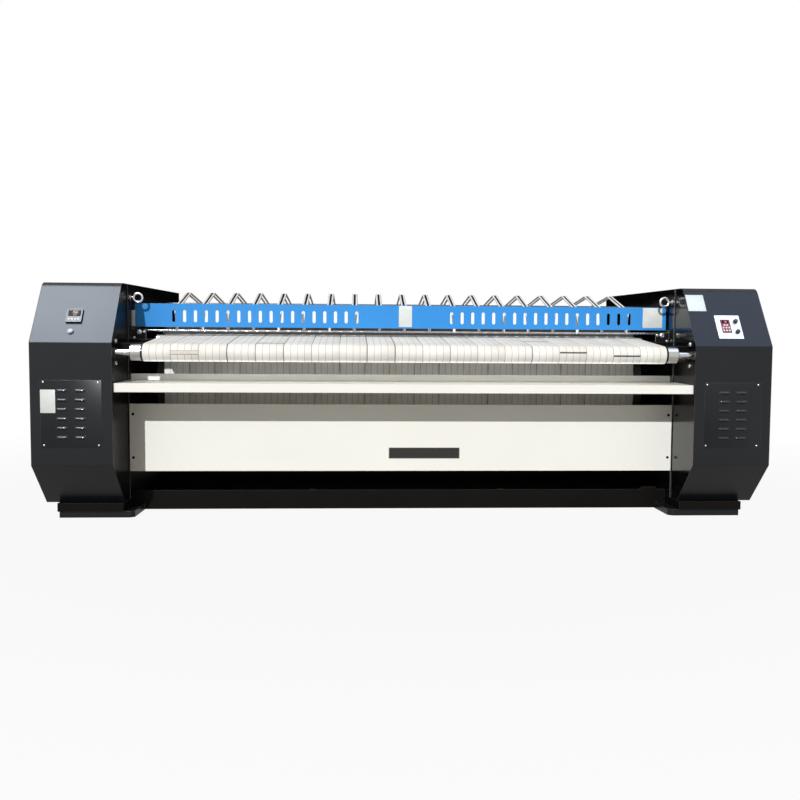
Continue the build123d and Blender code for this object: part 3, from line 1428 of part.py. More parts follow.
def speed_knob():
    """The turning knob on its stem, with a groove that marks its setting."""
    start = CONTROL_THICKNESS + KNOB_GAP
    top = start + KNOB_HEIGHT
    body = on_slope(Circle(KNOB_RADIUS), BUTTON_X, KNOB_UP, start, top)
    body = fillet(body.edges().filter_by(GeomType.CIRCLE).sort_by(Axis.Y)[0], KNOB_EDGE)
    mark = Pos(0, KNOB_RADIUS / 2) * Rectangle(KNOB_MARK, KNOB_RADIUS)
    body -= on_slope(mark, BUTTON_X, KNOB_UP, top - KNOB_MARK / 2, top + 1)
    return body + on_slope(Circle(KNOB_STEM_RADIUS), BUTTON_X, KNOB_UP, -STEM_LENGTH, start)


def stop_button():
    """The push button on its stem, held off the plate by its travel."""
    start = CONTROL_THICKNESS + KNOB_GAP + BUTTON_TRAVEL
    top = start + BUTTON_HEIGHT
    body = on_slope(Circle(BUTTON_RADIUS), BUTTON_X, BUTTON_UP, start, top)
    body = fillet(body.edges().filter_by(GeomType.CIRCLE).sort_by(Axis.Y)[0], BUTTON_EDGE)
    return body + on_slope(Circle(BUTTON_STEM_RADIUS), BUTTON_X, BUTTON_UP, -STEM_LENGTH, start)


# ---- Every node -------------------------------------------------------------------------------

save_pair("side_cover", side_cover())
save("left_front_shell", left_front_shell())
save("right_front_shell", right_front_shell())
save_pair("access_panel", access_panel())
save("left_rear_cover", left_rear_cover())
save("right_rear_cover", rear_cover())
save_pair("frame_plate", frame_plate())
save_pair("inner_wall", inner_wall())
save_pair("plinth", plinth())
save_pair("foot_rail", foot_rail())
save("base_beams", base_beam(BEAM_FRONT) + beam_saddle(), base_beam(DEPTH - BEAM_REAR_MARGIN))
save("floor_pan", floor_pan())
save("feed_shelf", feed_shelf())
save("front_apron", apron(PLATE_FRONT, APRON_BOTTOM, APRON_TOP, 1))
save("rear_apron", apron(REAR_APRON_DEPTH, APRON_BOTTOM, APRON_TOP, -1))
save("delivery_chute", delivery_chute())
save("nameplate", nameplate())
save("apron_screws", *[front_screw(x, PLATE_FRONT, z) for x, z in apron_screw_places()])

panel_screw_x = PANEL_WIDTH / 2 - PANEL_SCREW_INSET
panel_screw_heights = (PANEL_BOTTOM + PANEL_SCREW_INSET, PANEL_BOTTOM + PANEL_HEIGHT - PANEL_SCREW_INSET)
panel_screws = [
    front_screw(side * PANEL_X + edge * panel_screw_x, -SHEET, height)
    for side in (-1, 1)
    for edge in (-1, 1)
    for height in panel_screw_heights
]
save("panel_screws", *panel_screws)

save("conveyor_belts", *conveyor_belts())
save("belt_lacings", *belt_lacings())
save("feed_bed", feed_bed())
save("bed_cross_tubes", bed_tube(BED_FRONT_TUBE, WALL_X), bed_tube(BED_REAR_TUBE, HALF_BAY))

save("heated_drum", drum_shell(), drive_journal(), steam_journal())
save("feed_roller", roller(FEED_CENTRE, FEED_RADIUS, FEED_SHAFT_END))
save("nip_roller", roller(NIP_CENTRE, NIP_RADIUS, ROLLER_SHAFT_END))
save("exit_roller", roller(EXIT_CENTRE, EXIT_RADIUS, ROLLER_SHAFT_END))
save("lower_rear_roller", roller(LOWER_REAR_CENTRE, LOWER_REAR_RADIUS, ROLLER_SHAFT_END))
save("lower_front_roller", roller(LOWER_FRONT_CENTRE, LOWER_FRONT_RADIUS, ROLLER_SHAFT_END))
save("snub_roller", roller(SNUB_CENTRE, SNUB_RADIUS, ROLLER_SHAFT_END))

right_bearings = [take_up_bearing()] + [flange_bearing(centre) for centre in PLATE_ROLLER_CENTRES]
save("roller_bearings", *right_bearings, *[mirrored(bearing) for bearing in right_bearings])
save("drum_bearings", drum_bearing(), mirrored(drum_bearing()))
right_side_bolts = right_bolts()
save("frame_bolts", *right_side_bolts, *[mirrored(bolt) for bolt in right_side_bolts])

save("drum_sprocket", drum_sprocket())
save("drive_sprocket", drive_sprocket())
save("drive_chain", drive_chain())
save("gear_motor", gear_motor())
save("rotary_steam_joint", rotary_steam_joint())
save("steam_pipes", steam_pipe(1), steam_pipe(-1))

save("wire_rods", *wire_rods())
save("guide_wires", *guide_wires())
save("rod_brackets", rod_bracket(), mirrored(rod_bracket()))

save("guard_panel", guard_panel())
save("guard_pins", guard_pin(), mirrored(guard_pin()))
save("guard_bosses", guard_boss(), mirrored(guard_boss()))
save("guard_sensor", guard_sensor())
save("lifting_eyebolts", eyebolt(), mirrored(eyebolt()))

save("temperature_controller", temperature_controller())
save("selector_collar", selector_collar())
save("selector_key", selector_key())
save("control_plate", control_plate())
save("keypad", keypad())
save("speed_knob", speed_knob())
save("stop_button", stop_button())
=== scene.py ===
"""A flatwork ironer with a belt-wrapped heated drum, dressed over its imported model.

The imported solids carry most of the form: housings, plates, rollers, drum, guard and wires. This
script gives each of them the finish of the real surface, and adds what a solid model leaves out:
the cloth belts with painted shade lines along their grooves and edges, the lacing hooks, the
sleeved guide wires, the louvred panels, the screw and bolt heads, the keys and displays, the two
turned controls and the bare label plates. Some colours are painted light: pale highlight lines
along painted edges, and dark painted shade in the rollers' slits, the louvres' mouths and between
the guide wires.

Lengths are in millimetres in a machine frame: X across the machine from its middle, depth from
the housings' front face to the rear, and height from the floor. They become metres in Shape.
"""

from __future__ import annotations

import functools
import json
import logging
import math
from collections.abc import Callable
from dataclasses import dataclass, field
from enum import Enum
from fnmatch import fnmatch
from typing import Any

import bmesh
import bpy
import numpy as np
from mathutils import Matrix, Vector

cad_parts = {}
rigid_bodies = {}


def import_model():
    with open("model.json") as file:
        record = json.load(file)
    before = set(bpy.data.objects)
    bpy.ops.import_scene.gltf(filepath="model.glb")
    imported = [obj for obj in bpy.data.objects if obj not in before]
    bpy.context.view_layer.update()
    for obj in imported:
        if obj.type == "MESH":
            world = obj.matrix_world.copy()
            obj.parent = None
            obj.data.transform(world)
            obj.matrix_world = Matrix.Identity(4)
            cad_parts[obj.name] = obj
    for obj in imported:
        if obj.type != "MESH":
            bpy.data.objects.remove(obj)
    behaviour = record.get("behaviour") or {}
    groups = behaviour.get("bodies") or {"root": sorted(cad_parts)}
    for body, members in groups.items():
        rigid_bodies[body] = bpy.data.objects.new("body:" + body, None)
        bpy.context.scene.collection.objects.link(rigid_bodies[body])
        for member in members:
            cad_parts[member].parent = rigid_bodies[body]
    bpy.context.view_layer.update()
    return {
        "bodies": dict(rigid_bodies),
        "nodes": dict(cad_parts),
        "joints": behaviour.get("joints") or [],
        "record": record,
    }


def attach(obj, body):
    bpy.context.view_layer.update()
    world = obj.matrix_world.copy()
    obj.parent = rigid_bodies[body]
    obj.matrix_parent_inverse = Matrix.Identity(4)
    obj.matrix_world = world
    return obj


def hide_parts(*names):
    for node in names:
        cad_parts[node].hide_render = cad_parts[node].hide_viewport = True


LOG = logging.getLogger("flatwork_ironer")

METRE = 1000.0
MACHINE_DEPTH = 1800.0
PLATE_X = 1650.0
OUTER_X = 2100.0
PANEL_X = 1876.0
SLOPE_FOOT = 1020.0
SLOPE_ALONG = (0.0, 0.545163, 0.838341)
SLOPE_OUTWARD = (0.0, -0.838341, 0.545163)
DRUM_CENTRE = (1030.0, 750.0)

Array = np.ndarray
Inputs = dict[str | int, Any]
Adder = Callable[..., bpy.types.Node]
Pairs = tuple[tuple[float, float], ...]
Triple = tuple[float, float, float]


# ---- Shapes ------------------------------------------------------------------------------------


@dataclass(frozen=True)
class Frame:
    """A place and a way to face, in the machine frame.

    Attributes:
        origin: X, depth and height.
        right: Direction of the shape's own x.
        up: Direction of the shape's own y.
        out: Direction of the shape's own z, away from what carries it.
    """

    origin: Triple
    right: Triple = (1.0, 0.0, 0.0)
    up: Triple = (0.0, 0.0, 1.0)
    out: Triple = (0.0, -1.0, 0.0)


class Facing(Enum):
    """The ways that a flat face of the machine points, as right, up and out."""

    FRONT = ((1, 0, 0), (0, 0, 1), (0, -1, 0))
    REAR = ((-1, 0, 0), (0, 0, 1), (0, 1, 0))
    RIGHT = ((0, 1, 0), (0, 0, 1), (1, 0, 0))
    LEFT = ((0, -1, 0), (0, 0, 1), (-1, 0, 0))
    TOP = ((1, 0, 0), (0, 1, 0), (0, 0, 1))
    SLOPE = ((1, 0, 0), SLOPE_ALONG, SLOPE_OUTWARD)

    def at(self, x: float, depth: float, height: float) -> Frame:
        """Return the frame at a place of the machine, facing this way."""
        return Frame((x, depth, height), *self.value)


def on_slope(x: float, up: float, proud: float = 0.0) -> Frame:
    """Give the frame of a place on a housing's sloping face.

    Args:
        x: Distance from the machine's middle.
        up: Distance up the slope from its foot.
        proud: Height above the sloping sheet.

    Returns:
        The frame, facing out of the slope.
    """
    place = np.array(SLOPE_ALONG) * up + np.array(SLOPE_OUTWARD) * proud
    return Facing.SLOPE.at(x, float(place[1]), SLOPE_FOOT + float(place[2]))


@dataclass
class Shape:
    """Vertices in millimetres and the faces between them.

    Attributes:
        vertices: One row for each vertex.
        faces: Vertex numbers of each face.
        uv: One row for each face corner in order, or None.
    """

    vertices: Array
    faces: list[Array]
    uv: Array | None = None

    def placed(self, frame: Frame) -> Shape:
        """Return the shape carried to a frame: origin plus x right, y up and z out."""
        axes = np.array([frame.right, frame.up, frame.out], dtype=float)
        return Shape(np.array(frame.origin) + self.vertices @ axes, self.faces, self.uv)

    def moved(self, x: float, y: float = 0.0, z: float = 0.0) -> Shape:
        """Return the shape moved along its own axes."""
        return Shape(self.vertices + [x, y, z], self.faces, self.uv)


def joined(shapes: list[Shape]) -> Shape:
    """Join shapes into one, with the vertex numbers of each moved past those before it.

    Args:
        shapes: The shapes, all with UVs or all without.

    Returns:
        One shape with all their vertices and faces.
    """
    starts = np.cumsum([0] + [len(shape.vertices) for shape in shapes[:-1]])
    faces = [face + start for shape, start in zip(shapes, starts) for face in shape.faces]
    uv = None if shapes[0].uv is None else np.concatenate([shape.uv for shape in shapes])
    return Shape(np.concatenate([shape.vertices for shape in shapes]), faces, uv)


def ring_faces(rows: int, columns: int, loop: bool) -> Array:
    """Number the quads of a grid whose columns close on themselves.

    Args:
        rows: Count of rings.
        columns: Points in each ring.
        loop: True where the last ring meets the first.

    Returns:
        An array of four vertex numbers for each quad.
    """
    row, column = np.meshgrid(np.arange(rows if loop else rows - 1), np.arange(columns), indexing="ij")
    after, beside = (row + 1) % rows, (column + 1) % columns
    places = ((row, column), (row, beside), (after, beside), (after, column))
    return np.stack([r * columns + c for r, c in places], axis=-1).reshape(-1, 4)


def stacked(
    width: float,
    height: float,
    corner: float,
    rows: Pairs,
    steps: int = 4,
    flutes: int = 0,
    flute_depth: float = 0.0,
) -> Shape:
    """Stack rounded rectangles into a closed solid, from its seat to its top.

    The outline is a rectangle whose corners are quarter circles. Each row draws it in by an inset
    and lifts it to a height: inside the corner radius the quarter circles shrink, and past it the
    straight sides do. With the corner at half the width, the outline is a circle, and the solid is
    a turned one. Flutes scale the radius by one less half the depth of one plus the cosine of the
    angle times their number.

    Args:
        width: Size along the shape's x.
        height: Size along the shape's y.
        corner: Radius of the corners.
        rows: Inset and height of each ring.
        steps: Points in each corner.
        flutes: Grip grooves round the solid.
        flute_depth: Depth of the grooves as a share of the radius.

    Returns:
        The closed shape, with a flat cap at each end.
    """
    inset, level = np.array(rows, dtype=float).T[:, :, None]
    angle = (np.arange(4)[:, None] * 90.0 + np.linspace(0.0, 90.0, steps)).reshape(1, -1)
    turn = np.radians(angle)
    side_x = np.repeat([1.0, -1.0, -1.0, 1.0], steps)[None, :]
    side_y = np.repeat([1.0, 1.0, -1.0, -1.0], steps)[None, :]
    core = np.maximum(corner, inset)
    radius = np.maximum(corner - inset, 0.0)
    x = side_x * np.maximum(width / 2 - core, 0.0) + radius * np.cos(turn)
    y = side_y * np.maximum(height / 2 - core, 0.0) + radius * np.sin(turn)
    groove = 1.0 - 0.5 * flute_depth * (1.0 + np.cos(turn * flutes)) if flutes else np.ones_like(turn)
    points = np.stack(np.broadcast_arrays(x * groove, y * groove, level), axis=-1).reshape(-1, 3)
    count, columns = len(rows), 4 * steps
    faces = list(ring_faces(count, columns, loop=False))
    faces += [np.arange(columns)[::-1], np.arange(columns) + (count - 1) * columns]
    return Shape(points, faces)


def plate(width: float, height: float, thickness: float, corner: float, edge: float = 0.4) -> Shape:
    """Return a flat plate with rounded corners, whose front edge is eased by a quarter round."""
    rows = ((0.0, 0.0), (0.0, thickness - edge), (edge * 0.3, thickness - edge * 0.3), (edge, thickness))
    return stacked(width, height, corner, rows)


def turned(radius: float, rows: Pairs, steps: int = 4) -> Shape:
    """Return a turned solid from radius and height pairs, from its seat to its top."""
    return stacked(2 * radius, 2 * radius, radius, tuple((radius - r, z) for r, z in rows), steps)


def piece(
    name: str,
    parts: dict[Finishes, list[Shape]],
    stands_for: str = "",
    body: str = "frame",
    smooth: float = 35.0,
) -> None:
    """Make one object from shapes and their finishes, and let it ride on a body.

    Doubled vertices are merged and the normals recalculated, so that faces point outwards. The
    object stays at the origin, and its place is in its mesh.

    Args:
        name: Name of the piece.
        parts: The shapes that have each finish.
        stands_for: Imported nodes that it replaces, with spaces between.
        body: The body that carries it.
        smooth: Angle in degrees below which an edge is shaded smooth.
    """
    layers = [joined(shapes) for shapes in parts.values()]
    whole = joined(layers)
    mesh = bpy.data.meshes.new(name)
    place = (whole.vertices - np.array([0.0, MACHINE_DEPTH / 2, 0.0])) / METRE
    mesh.from_pydata(place.tolist(), [], [face.tolist() for face in whole.faces])
    numbers = np.repeat(np.arange(len(layers)), [len(layer.faces) for layer in layers])
    mesh.polygons.foreach_set("material_index", numbers.astype(np.int32))
    for finish in parts:
        mesh.materials.append(finish.made())
    if whole.uv is not None:
        mesh.uv_layers.new(name="UVMap").data.foreach_set("uv", whole.uv.astype(np.float32).ravel())
    work = bmesh.new()
    work.from_mesh(mesh)
    bmesh.ops.remove_doubles(work, verts=work.verts, dist=1e-6)
    bmesh.ops.recalc_face_normals(work, faces=work.faces)
    work.to_mesh(mesh)
    work.free()
    mesh.shade_smooth()
    mesh.set_sharp_from_angle(angle=math.radians(smooth))
    made = bpy.data.objects.new(name, mesh)
    bpy.context.scene.collection.objects.link(made)
    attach(made, body)
    if stands_for:
        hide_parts(*stands_for.split())
    LOG.info("%s: %d faces on %s", name, len(mesh.polygons), body)


# ---- Finishes ----------------------------------------------------------------------------------


def linear(colour: str) -> tuple[float, float, float, float]:
    """Turn an sRGB hex colour such as #A0B0C0 into linear red, green, blue and alpha."""
    parts = np.array([int(colour[i : i + 2], 16) for i in (1, 3, 5)]) / 255.0
    values = np.where(parts <= 0.04045, parts / 12.92, ((parts + 0.055) / 1.055) ** 2.4)
    return (float(values[0]), float(values[1]), float(values[2]), 1.0)


def feed(node: bpy.types.Node, inputs: Inputs) -> None:
    """Set or link a node's inputs.

    Args:
        node: The node.
        inputs: Socket name or number to a value, to a hex colour, to another node's output
            socket, or to a node, which stands for its first output in use.
    """
    for socket, value in inputs.items():
        if isinstance(value, bpy.types.Node):
            value = next(output for output in value.outputs if output.enabled)
        if isinstance(value, bpy.types.NodeSocket):
            node.id_data.links.new(value, node.inputs[socket])
        else:
            node.inputs[socket].default_value = linear(value) if isinstance(value, str) else value


def add_node(
    tree: bpy.types.NodeTree, kind: str, inputs: Inputs | None = None, **settings: Any
) -> bpy.types.Node:
    """Add a node with its settings, values and links.

    Args:
        tree: The material's or world's tree.
        kind: Blender's type name of the node, without the part that all of them start with.
        inputs: What feeds its sockets, as in feed().
        **settings: Properties of the node.

    Returns:
        The new node.
    """
    node = tree.nodes.new(f"ShaderNode{kind}")
    for name, value in settings.items():
        setattr(node, name, value)
    feed(node, inputs or {})
    return node


def started(owner: bpy.types.Material | bpy.types.World) -> Adder:
    """Empty the node tree of a material or world, and return what adds nodes to it."""
    owner.use_nodes = True
    owner.node_tree.nodes.clear()
    return functools.partial(add_node, owner.node_tree)


@dataclass(frozen=True)
class Finish:
    """What every finish has: its name, main colour, roughness and reflection.

    Attributes:
        name: Common name of the material.
        colour: Main sRGB colour.
        roughness: Middle roughness.
        specular: Specular level, 0.5 for a plain dielectric.
        metallic: 1 for bare metal.
    """

    name: str
    colour: str
    roughness: float = 0.5
    specular: float = 0.5
    metallic: float = 0.0

    @functools.cache
    def material(self) -> bpy.types.Material:
        """Return the finish as a material, made once."""
        made = bpy.data.materials.new(self.name)
        made.diffuse_color = linear(self.colour)
        add = started(made)
        plain = {"Base Color": self.colour, "Roughness": self.roughness, "Metallic": self.metallic}
        shader = add("BsdfPrincipled", plain | {"Specular IOR Level": self.specular})
        add("OutputMaterial", {"Surface": shader})
        feed(shader, self.pattern(add, add("TexCoord").outputs["Object"]))
        return made

    def pattern(self, add: Adder, place: bpy.types.NodeSocket) -> Inputs:
        """Lay out the finish's own pattern.

        Args:
            add: Adds a node to the finish's tree.
            place: Each point's place in metres.

        Returns:
            What feeds the shader's inputs.
        """
        raise NotImplementedError


@dataclass(frozen=True)
class SheetPaint(Finish):
    """Paint on folded sheet steel: powder coat, gloss paint or enamel.

    The sprayed film has a slight orange peel and its tone drifts over a panel. Along folds and cut
    edges a paler line is mixed into the colour: partly paint thinned over the edge, partly a painted
    highlight where the rounded edge catches the light.

    Attributes:
        drift: Second tone that the colour drifts towards.
        edge: Colour along folds and cut edges, partly thinned paint and partly painted highlight.
        edge_width: Width of the eased edge in mm.
        edge_highlight_share: How far the edge takes that colour.
        drift_size: Size in mm of the tone's clouds.
        peel_size: Spacing in mm of the orange peel, drawn coarser than the real 1 to 2 mm.
        peel_height: Height in mm of the orange peel.
    """

    drift: str = "#000000"
    edge: str = "#808080"
    edge_width: float = 2.5
    edge_highlight_share: float = 0.5
    drift_size: float = 350.0
    peel_size: float = 6.0
    peel_height: float = 0.03

    def pattern(self, add: Adder, place: bpy.types.NodeSocket) -> Inputs:
        """Drift the tone in clouds, pale the folds with thinned paint and painted highlight, and raise the
        orange peel.

        Args:
            add: Adds a node to the finish's tree.
            place: Each point's place in metres.

        Returns:
            What feeds the shader's inputs.
        """
        cloud = add("TexNoise", {"Vector": place, "Scale": METRE / self.drift_size, "Detail": 4.0})
        share = add("MapRange", {"Value": cloud, "From Min": 0.3, "From Max": 0.7})
        tone = add("Mix", {0: share, 6: self.colour, 7: self.drift}, data_type="RGBA")
        # Where the eased normal leaves the flat one, along folds and edges, the colour turns paler: thinned
        # paint and painted highlight.
        eased = add("Bevel", {"Radius": self.edge_width / METRE}, samples=4)
        flat = add("NewGeometry").outputs["Normal"]
        along = add("VectorMath", {0: eased, 1: flat}, operation="DOT_PRODUCT")
        flat_to_sharp = {"From Min": 0.995, "From Max": 0.90}
        edge_wear_and_highlight = add("MapRange", {"Value": along, **flat_to_sharp, "To Max": self.edge_highlight_share})
        worn = add("Mix", {0: edge_wear_and_highlight, 6: tone, 7: self.edge}, data_type="RGBA")
        peel = add("TexNoise", {"Vector": place, "Scale": METRE / self.peel_size, "Detail": 2.0})
        bump = add("Bump", {"Height": peel, "Distance": self.peel_height / METRE, "Normal": eased})
        low, high = 0.85 * self.roughness, 1.15 * self.roughness
        rough = add("MapRange", {"Value": cloud, "To Min": low, "To Max": high})
        return {"Base Color": worn, "Roughness": rough, "Normal": bump}


@dataclass(frozen=True)
class WorkedMetal(Finish):
    """Bare metal with the marks of how it was worked: turned, brushed, drawn, cast or plated.

    The marks are stretched noise: fine across them and long along them.

    Attributes:
        shade: Tone in the marks.
        grain: Size in mm of a mark along X, depth and height.
        mark_height: Depth in mm of the marks.
        spread: Change of roughness over the marks.
        edge_width: Width in mm of the eased edges.
        painted_slit_shade: Dark tone painted over the part that cloth runs over: painted shade of the slits
            between belts.
        painted_slit_shade_within: Distance from the machine's middle in mm within which that painted shade
            lies, or 0.
    """

    shade: str = "#909090"
    grain: Triple = (1.0, 1.0, 1.0)
    mark_height: float = 0.02
    spread: float = 0.12
    edge_width: float = 0.8
    painted_slit_shade: str = "#303030"
    painted_slit_shade_within: float = 0.0

    def pattern(self, add: Adder, place: bpy.types.NodeSocket) -> Inputs:
        """Lay stretched marks over colour, roughness and height.

        Args:
            add: Adds a node to the finish's tree.
            place: Each point's place in metres.

        Returns:
            What feeds the shader's inputs.
        """
        stretch = add("Mapping", {"Vector": place, "Scale": [METRE / size for size in self.grain]})
        mark = add("TexNoise", {"Vector": stretch, "Scale": 1.0, "Detail": 5.0, "Roughness": 0.6})
        span = {"Value": mark, "From Min": 0.3, "From Max": 0.7}
        tone = add("Mix", {0: add("MapRange", span), 6: self.shade, 7: self.colour}, data_type="RGBA")
        # Painted shade: within that distance, where the belts run, the tone turns dark for the shade in the
        # slits between them.
        if self.painted_slit_shade_within:
            away = add("Math", {0: add("SeparateXYZ", {0: place})}, operation="ABSOLUTE")
            under = add("Math", {0: away, 1: self.painted_slit_shade_within / METRE}, operation="LESS_THAN")
            tone = add("Mix", {0: under, 6: tone, 7: self.painted_slit_shade}, data_type="RGBA")
        low, high = self.roughness + self.spread, self.roughness - self.spread / 2
        rough = add("MapRange", span | {"To Min": low, "To Max": high})
        eased = add("Bevel", {"Radius": self.edge_width / METRE}, samples=4)
        bump = add("Bump", {"Height": mark, "Distance": self.mark_height / METRE, "Normal": eased})
        return {"Base Color": tone, "Roughness": rough, "Normal": bump}


@dataclass(frozen=True)
class Moulded(Finish):
    """Moulded plastic or printed film with a fine even grain and handled patches.

    Attributes:
        handled: Tone of the handled patches.
        grain_size: Size in mm of the grain.
        grain_height: Height in mm of the grain.
        patch_size: Size in mm of the patches.
        edge_width: Width in mm of the eased edges.
    """

    handled: str = "#303030"
    grain_size: float = 0.8
    grain_height: float = 0.02
    patch_size: float = 20.0
    edge_width: float = 0.4

    def pattern(self, add: Adder, place: bpy.types.NodeSocket) -> Inputs:
        """Raise the grain, and let the patches set colour and roughness.

        Args:
            add: Adds a node to the finish's tree.
            place: Each point's place in metres.

        Returns:
            What feeds the shader's inputs.
        """
        grain = add("TexNoise", {"Vector": place, "Scale": METRE / self.grain_size, "Detail": 2.0})
        patch = add("TexNoise", {"Vector": place, "Scale": METRE / self.patch_size, "Detail": 3.0})
        share = add("MapRange", {"Value": patch, "From Min": 0.35, "From Max": 0.7})
        tone = add("Mix", {0: share, 6: self.colour, 7: self.handled}, data_type="RGBA")
        low, high = self.roughness + 0.08, self.roughness - 0.08
        rough = add("MapRange", {"Value": patch, "To Min": low, "To Max": high})
        eased = add("Bevel", {"Radius": self.edge_width / METRE}, samples=4)
        bump = add("Bump", {"Height": grain, "Distance": self.grain_height / METRE, "Normal": eased})
        return {"Base Color": tone, "Roughness": rough, "Normal": bump}


@dataclass(frozen=True)
class NeedledCloth(Finish):
    """Needled polyester ironing belt: matt felt over a woven base, with grey lines of painted shade.

    The belt's UV runs from 0 to 1 across it and in metres along it. The lines of painted shade stand
    at each quarter of the width, for the shade in the belt's grooves, and at its edges, for the shade
    of the slits between belts.

    Attributes:
        groove_shade: Colour of the painted shade lines.
        groove_shade_width: Width in mm of a line.
        groove_shade_share: How far a line takes its colour.
        soiled: Tone of the parts that have carried linen.
        cloud_size: Size in mm of those parts.
        width: Belt width in mm.
        fibre: Size in mm of the felt's tufts, drawn coarser than the real 1 mm.
        felt_height: Height in mm of the tufts.
        sheen: Weight of the soft sheen.
    """

    groove_shade: str = "#8F8B84"
    groove_shade_width: float = 3.2
    groove_shade_share: float = 0.62
    soiled: str = "#E8E6DF"
    cloud_size: float = 140.0
    width: float = 154.9
    fibre: float = 5.0
    felt_height: float = 0.25
    sheen: float = 0.15

    def pattern(self, add: Adder, place: bpy.types.NodeSocket) -> Inputs:
        """Draw the broken lines of painted shade, the soiling and the felt.

        Args:
            add: Adds a node to the finish's tree.
            place: Each point's place in metres.

        Returns:
            What feeds the shader's inputs.
        """
        # Painted shade: dark lines at each quarter of the width, where the grooves are, and at the belt's
        # edges, beside the slits.
        across = add("SeparateXYZ", {0: add("UVMap", uv_map="UVMap")})
        quarters = add("Math", {0: across, 1: 4.0}, operation="MULTIPLY")
        beside = add("Math", {0: quarters, 1: 0.5}, operation="PINGPONG")
        half = 4.0 * self.groove_shade_width / 2 / self.width
        span = {"From Min": half * 0.5, "From Max": half * 1.5, "To Min": self.groove_shade_share, "To Max": 0.0}
        line = add("MapRange", {"Value": beside} | span)
        cloud = add("TexNoise", {"Vector": place, "Scale": METRE / self.cloud_size, "Detail": 5.0})
        worn = add("MapRange", {"Value": cloud, "From Min": 0.42, "From Max": 0.72})
        felt = add("TexNoise", {"Vector": place, "Scale": METRE / self.fibre, "Detail": 4.0})
        broken = add("MapRange", {"Value": felt, "To Min": 0.6, "To Max": 1.2})
        drawn = add("Math", {0: line, 1: broken}, operation="MULTIPLY")
        tone = add("Mix", {0: worn, 6: self.colour, 7: self.soiled}, data_type="RGBA")
        lined = add("Mix", {0: drawn, 6: tone, 7: self.groove_shade}, data_type="RGBA")
        bump = add("Bump", {"Height": felt, "Distance": self.felt_height / METRE})
        return {"Base Color": lined, "Normal": bump, "Sheen Weight": self.sheen, "Sheen Roughness": 0.5}


@dataclass(frozen=True)
class BorderedPlate(Finish):
    """Anodised plate with a bare bright border round a coloured field.

    The border is where the distance from the plate's middle passes the field's half size.

    Attributes:
        border: Colour of the border.
        middle: X and height of the plate's middle in mm.
        field_size: Width and height of the field in mm.
        brushing: Size in mm of a brush mark along X, depth and height.
    """

    border: str = "#C9CBCC"
    middle: tuple[float, float] = (120.0, 361.0)
    field_size: tuple[float, float] = (429.0, 64.0)
    brushing: Triple = (40.0, 1.0, 0.8)

    def pattern(self, add: Adder, place: bpy.types.NodeSocket) -> Inputs:
        """Mask the border, and brush the whole plate.

        Args:
            add: Adds a node to the finish's tree.
            place: Each point's place in metres.

        Returns:
            What feeds the shader's inputs.
        """
        axes, past = add("SeparateXYZ", {0: place}), []
        for axis, middle, size in zip((0, 2), self.middle, self.field_size):
            away = add("Math", {0: axes.outputs[axis], 1: middle / METRE}, operation="SUBTRACT")
            far = add("Math", {0: away}, operation="ABSOLUTE")
            past.append(add("Math", {0: far, 1: size / 2 / METRE}, operation="GREATER_THAN"))
        mask = add("Math", dict(enumerate(past)), operation="MAXIMUM")
        tone = add("Mix", {0: mask, 6: self.colour, 7: self.border}, data_type="RGBA")
        stretch = add("Mapping", {"Vector": place, "Scale": [METRE / size for size in self.brushing]})
        brush = add("TexNoise", {"Vector": stretch, "Scale": 1.0, "Detail": 3.0})
        return {"Base Color": tone, "Normal": add("Bump", {"Height": brush, "Distance": 0.01 / METRE})}


@dataclass(frozen=True)
class LitSegment(Finish):
    """Lit light-emitting-diode segment behind a tinted window, with a paler core.

    Attributes:
        glow: Strength of its own light.
        core: Colour of the core.
        grain_size: Size in mm of the diffuser's grain.
    """

    glow: float = 1.2
    core: str = "#FFC9B0"
    grain_size: float = 2.0

    def pattern(self, add: Adder, place: bpy.types.NodeSocket) -> Inputs:
        """Let the segment glow, broken up by a fine diffuser.

        Args:
            add: Adds a node to the finish's tree.
            place: Each point's place in metres.

        Returns:
            What feeds the shader's inputs.
        """
        grain = add("TexNoise", {"Vector": place, "Scale": METRE / self.grain_size})
        tone = add("Mix", {0: grain, 6: self.colour, 7: self.core}, data_type="RGBA")
        return {"Emission Strength": self.glow, "Emission Color": tone}


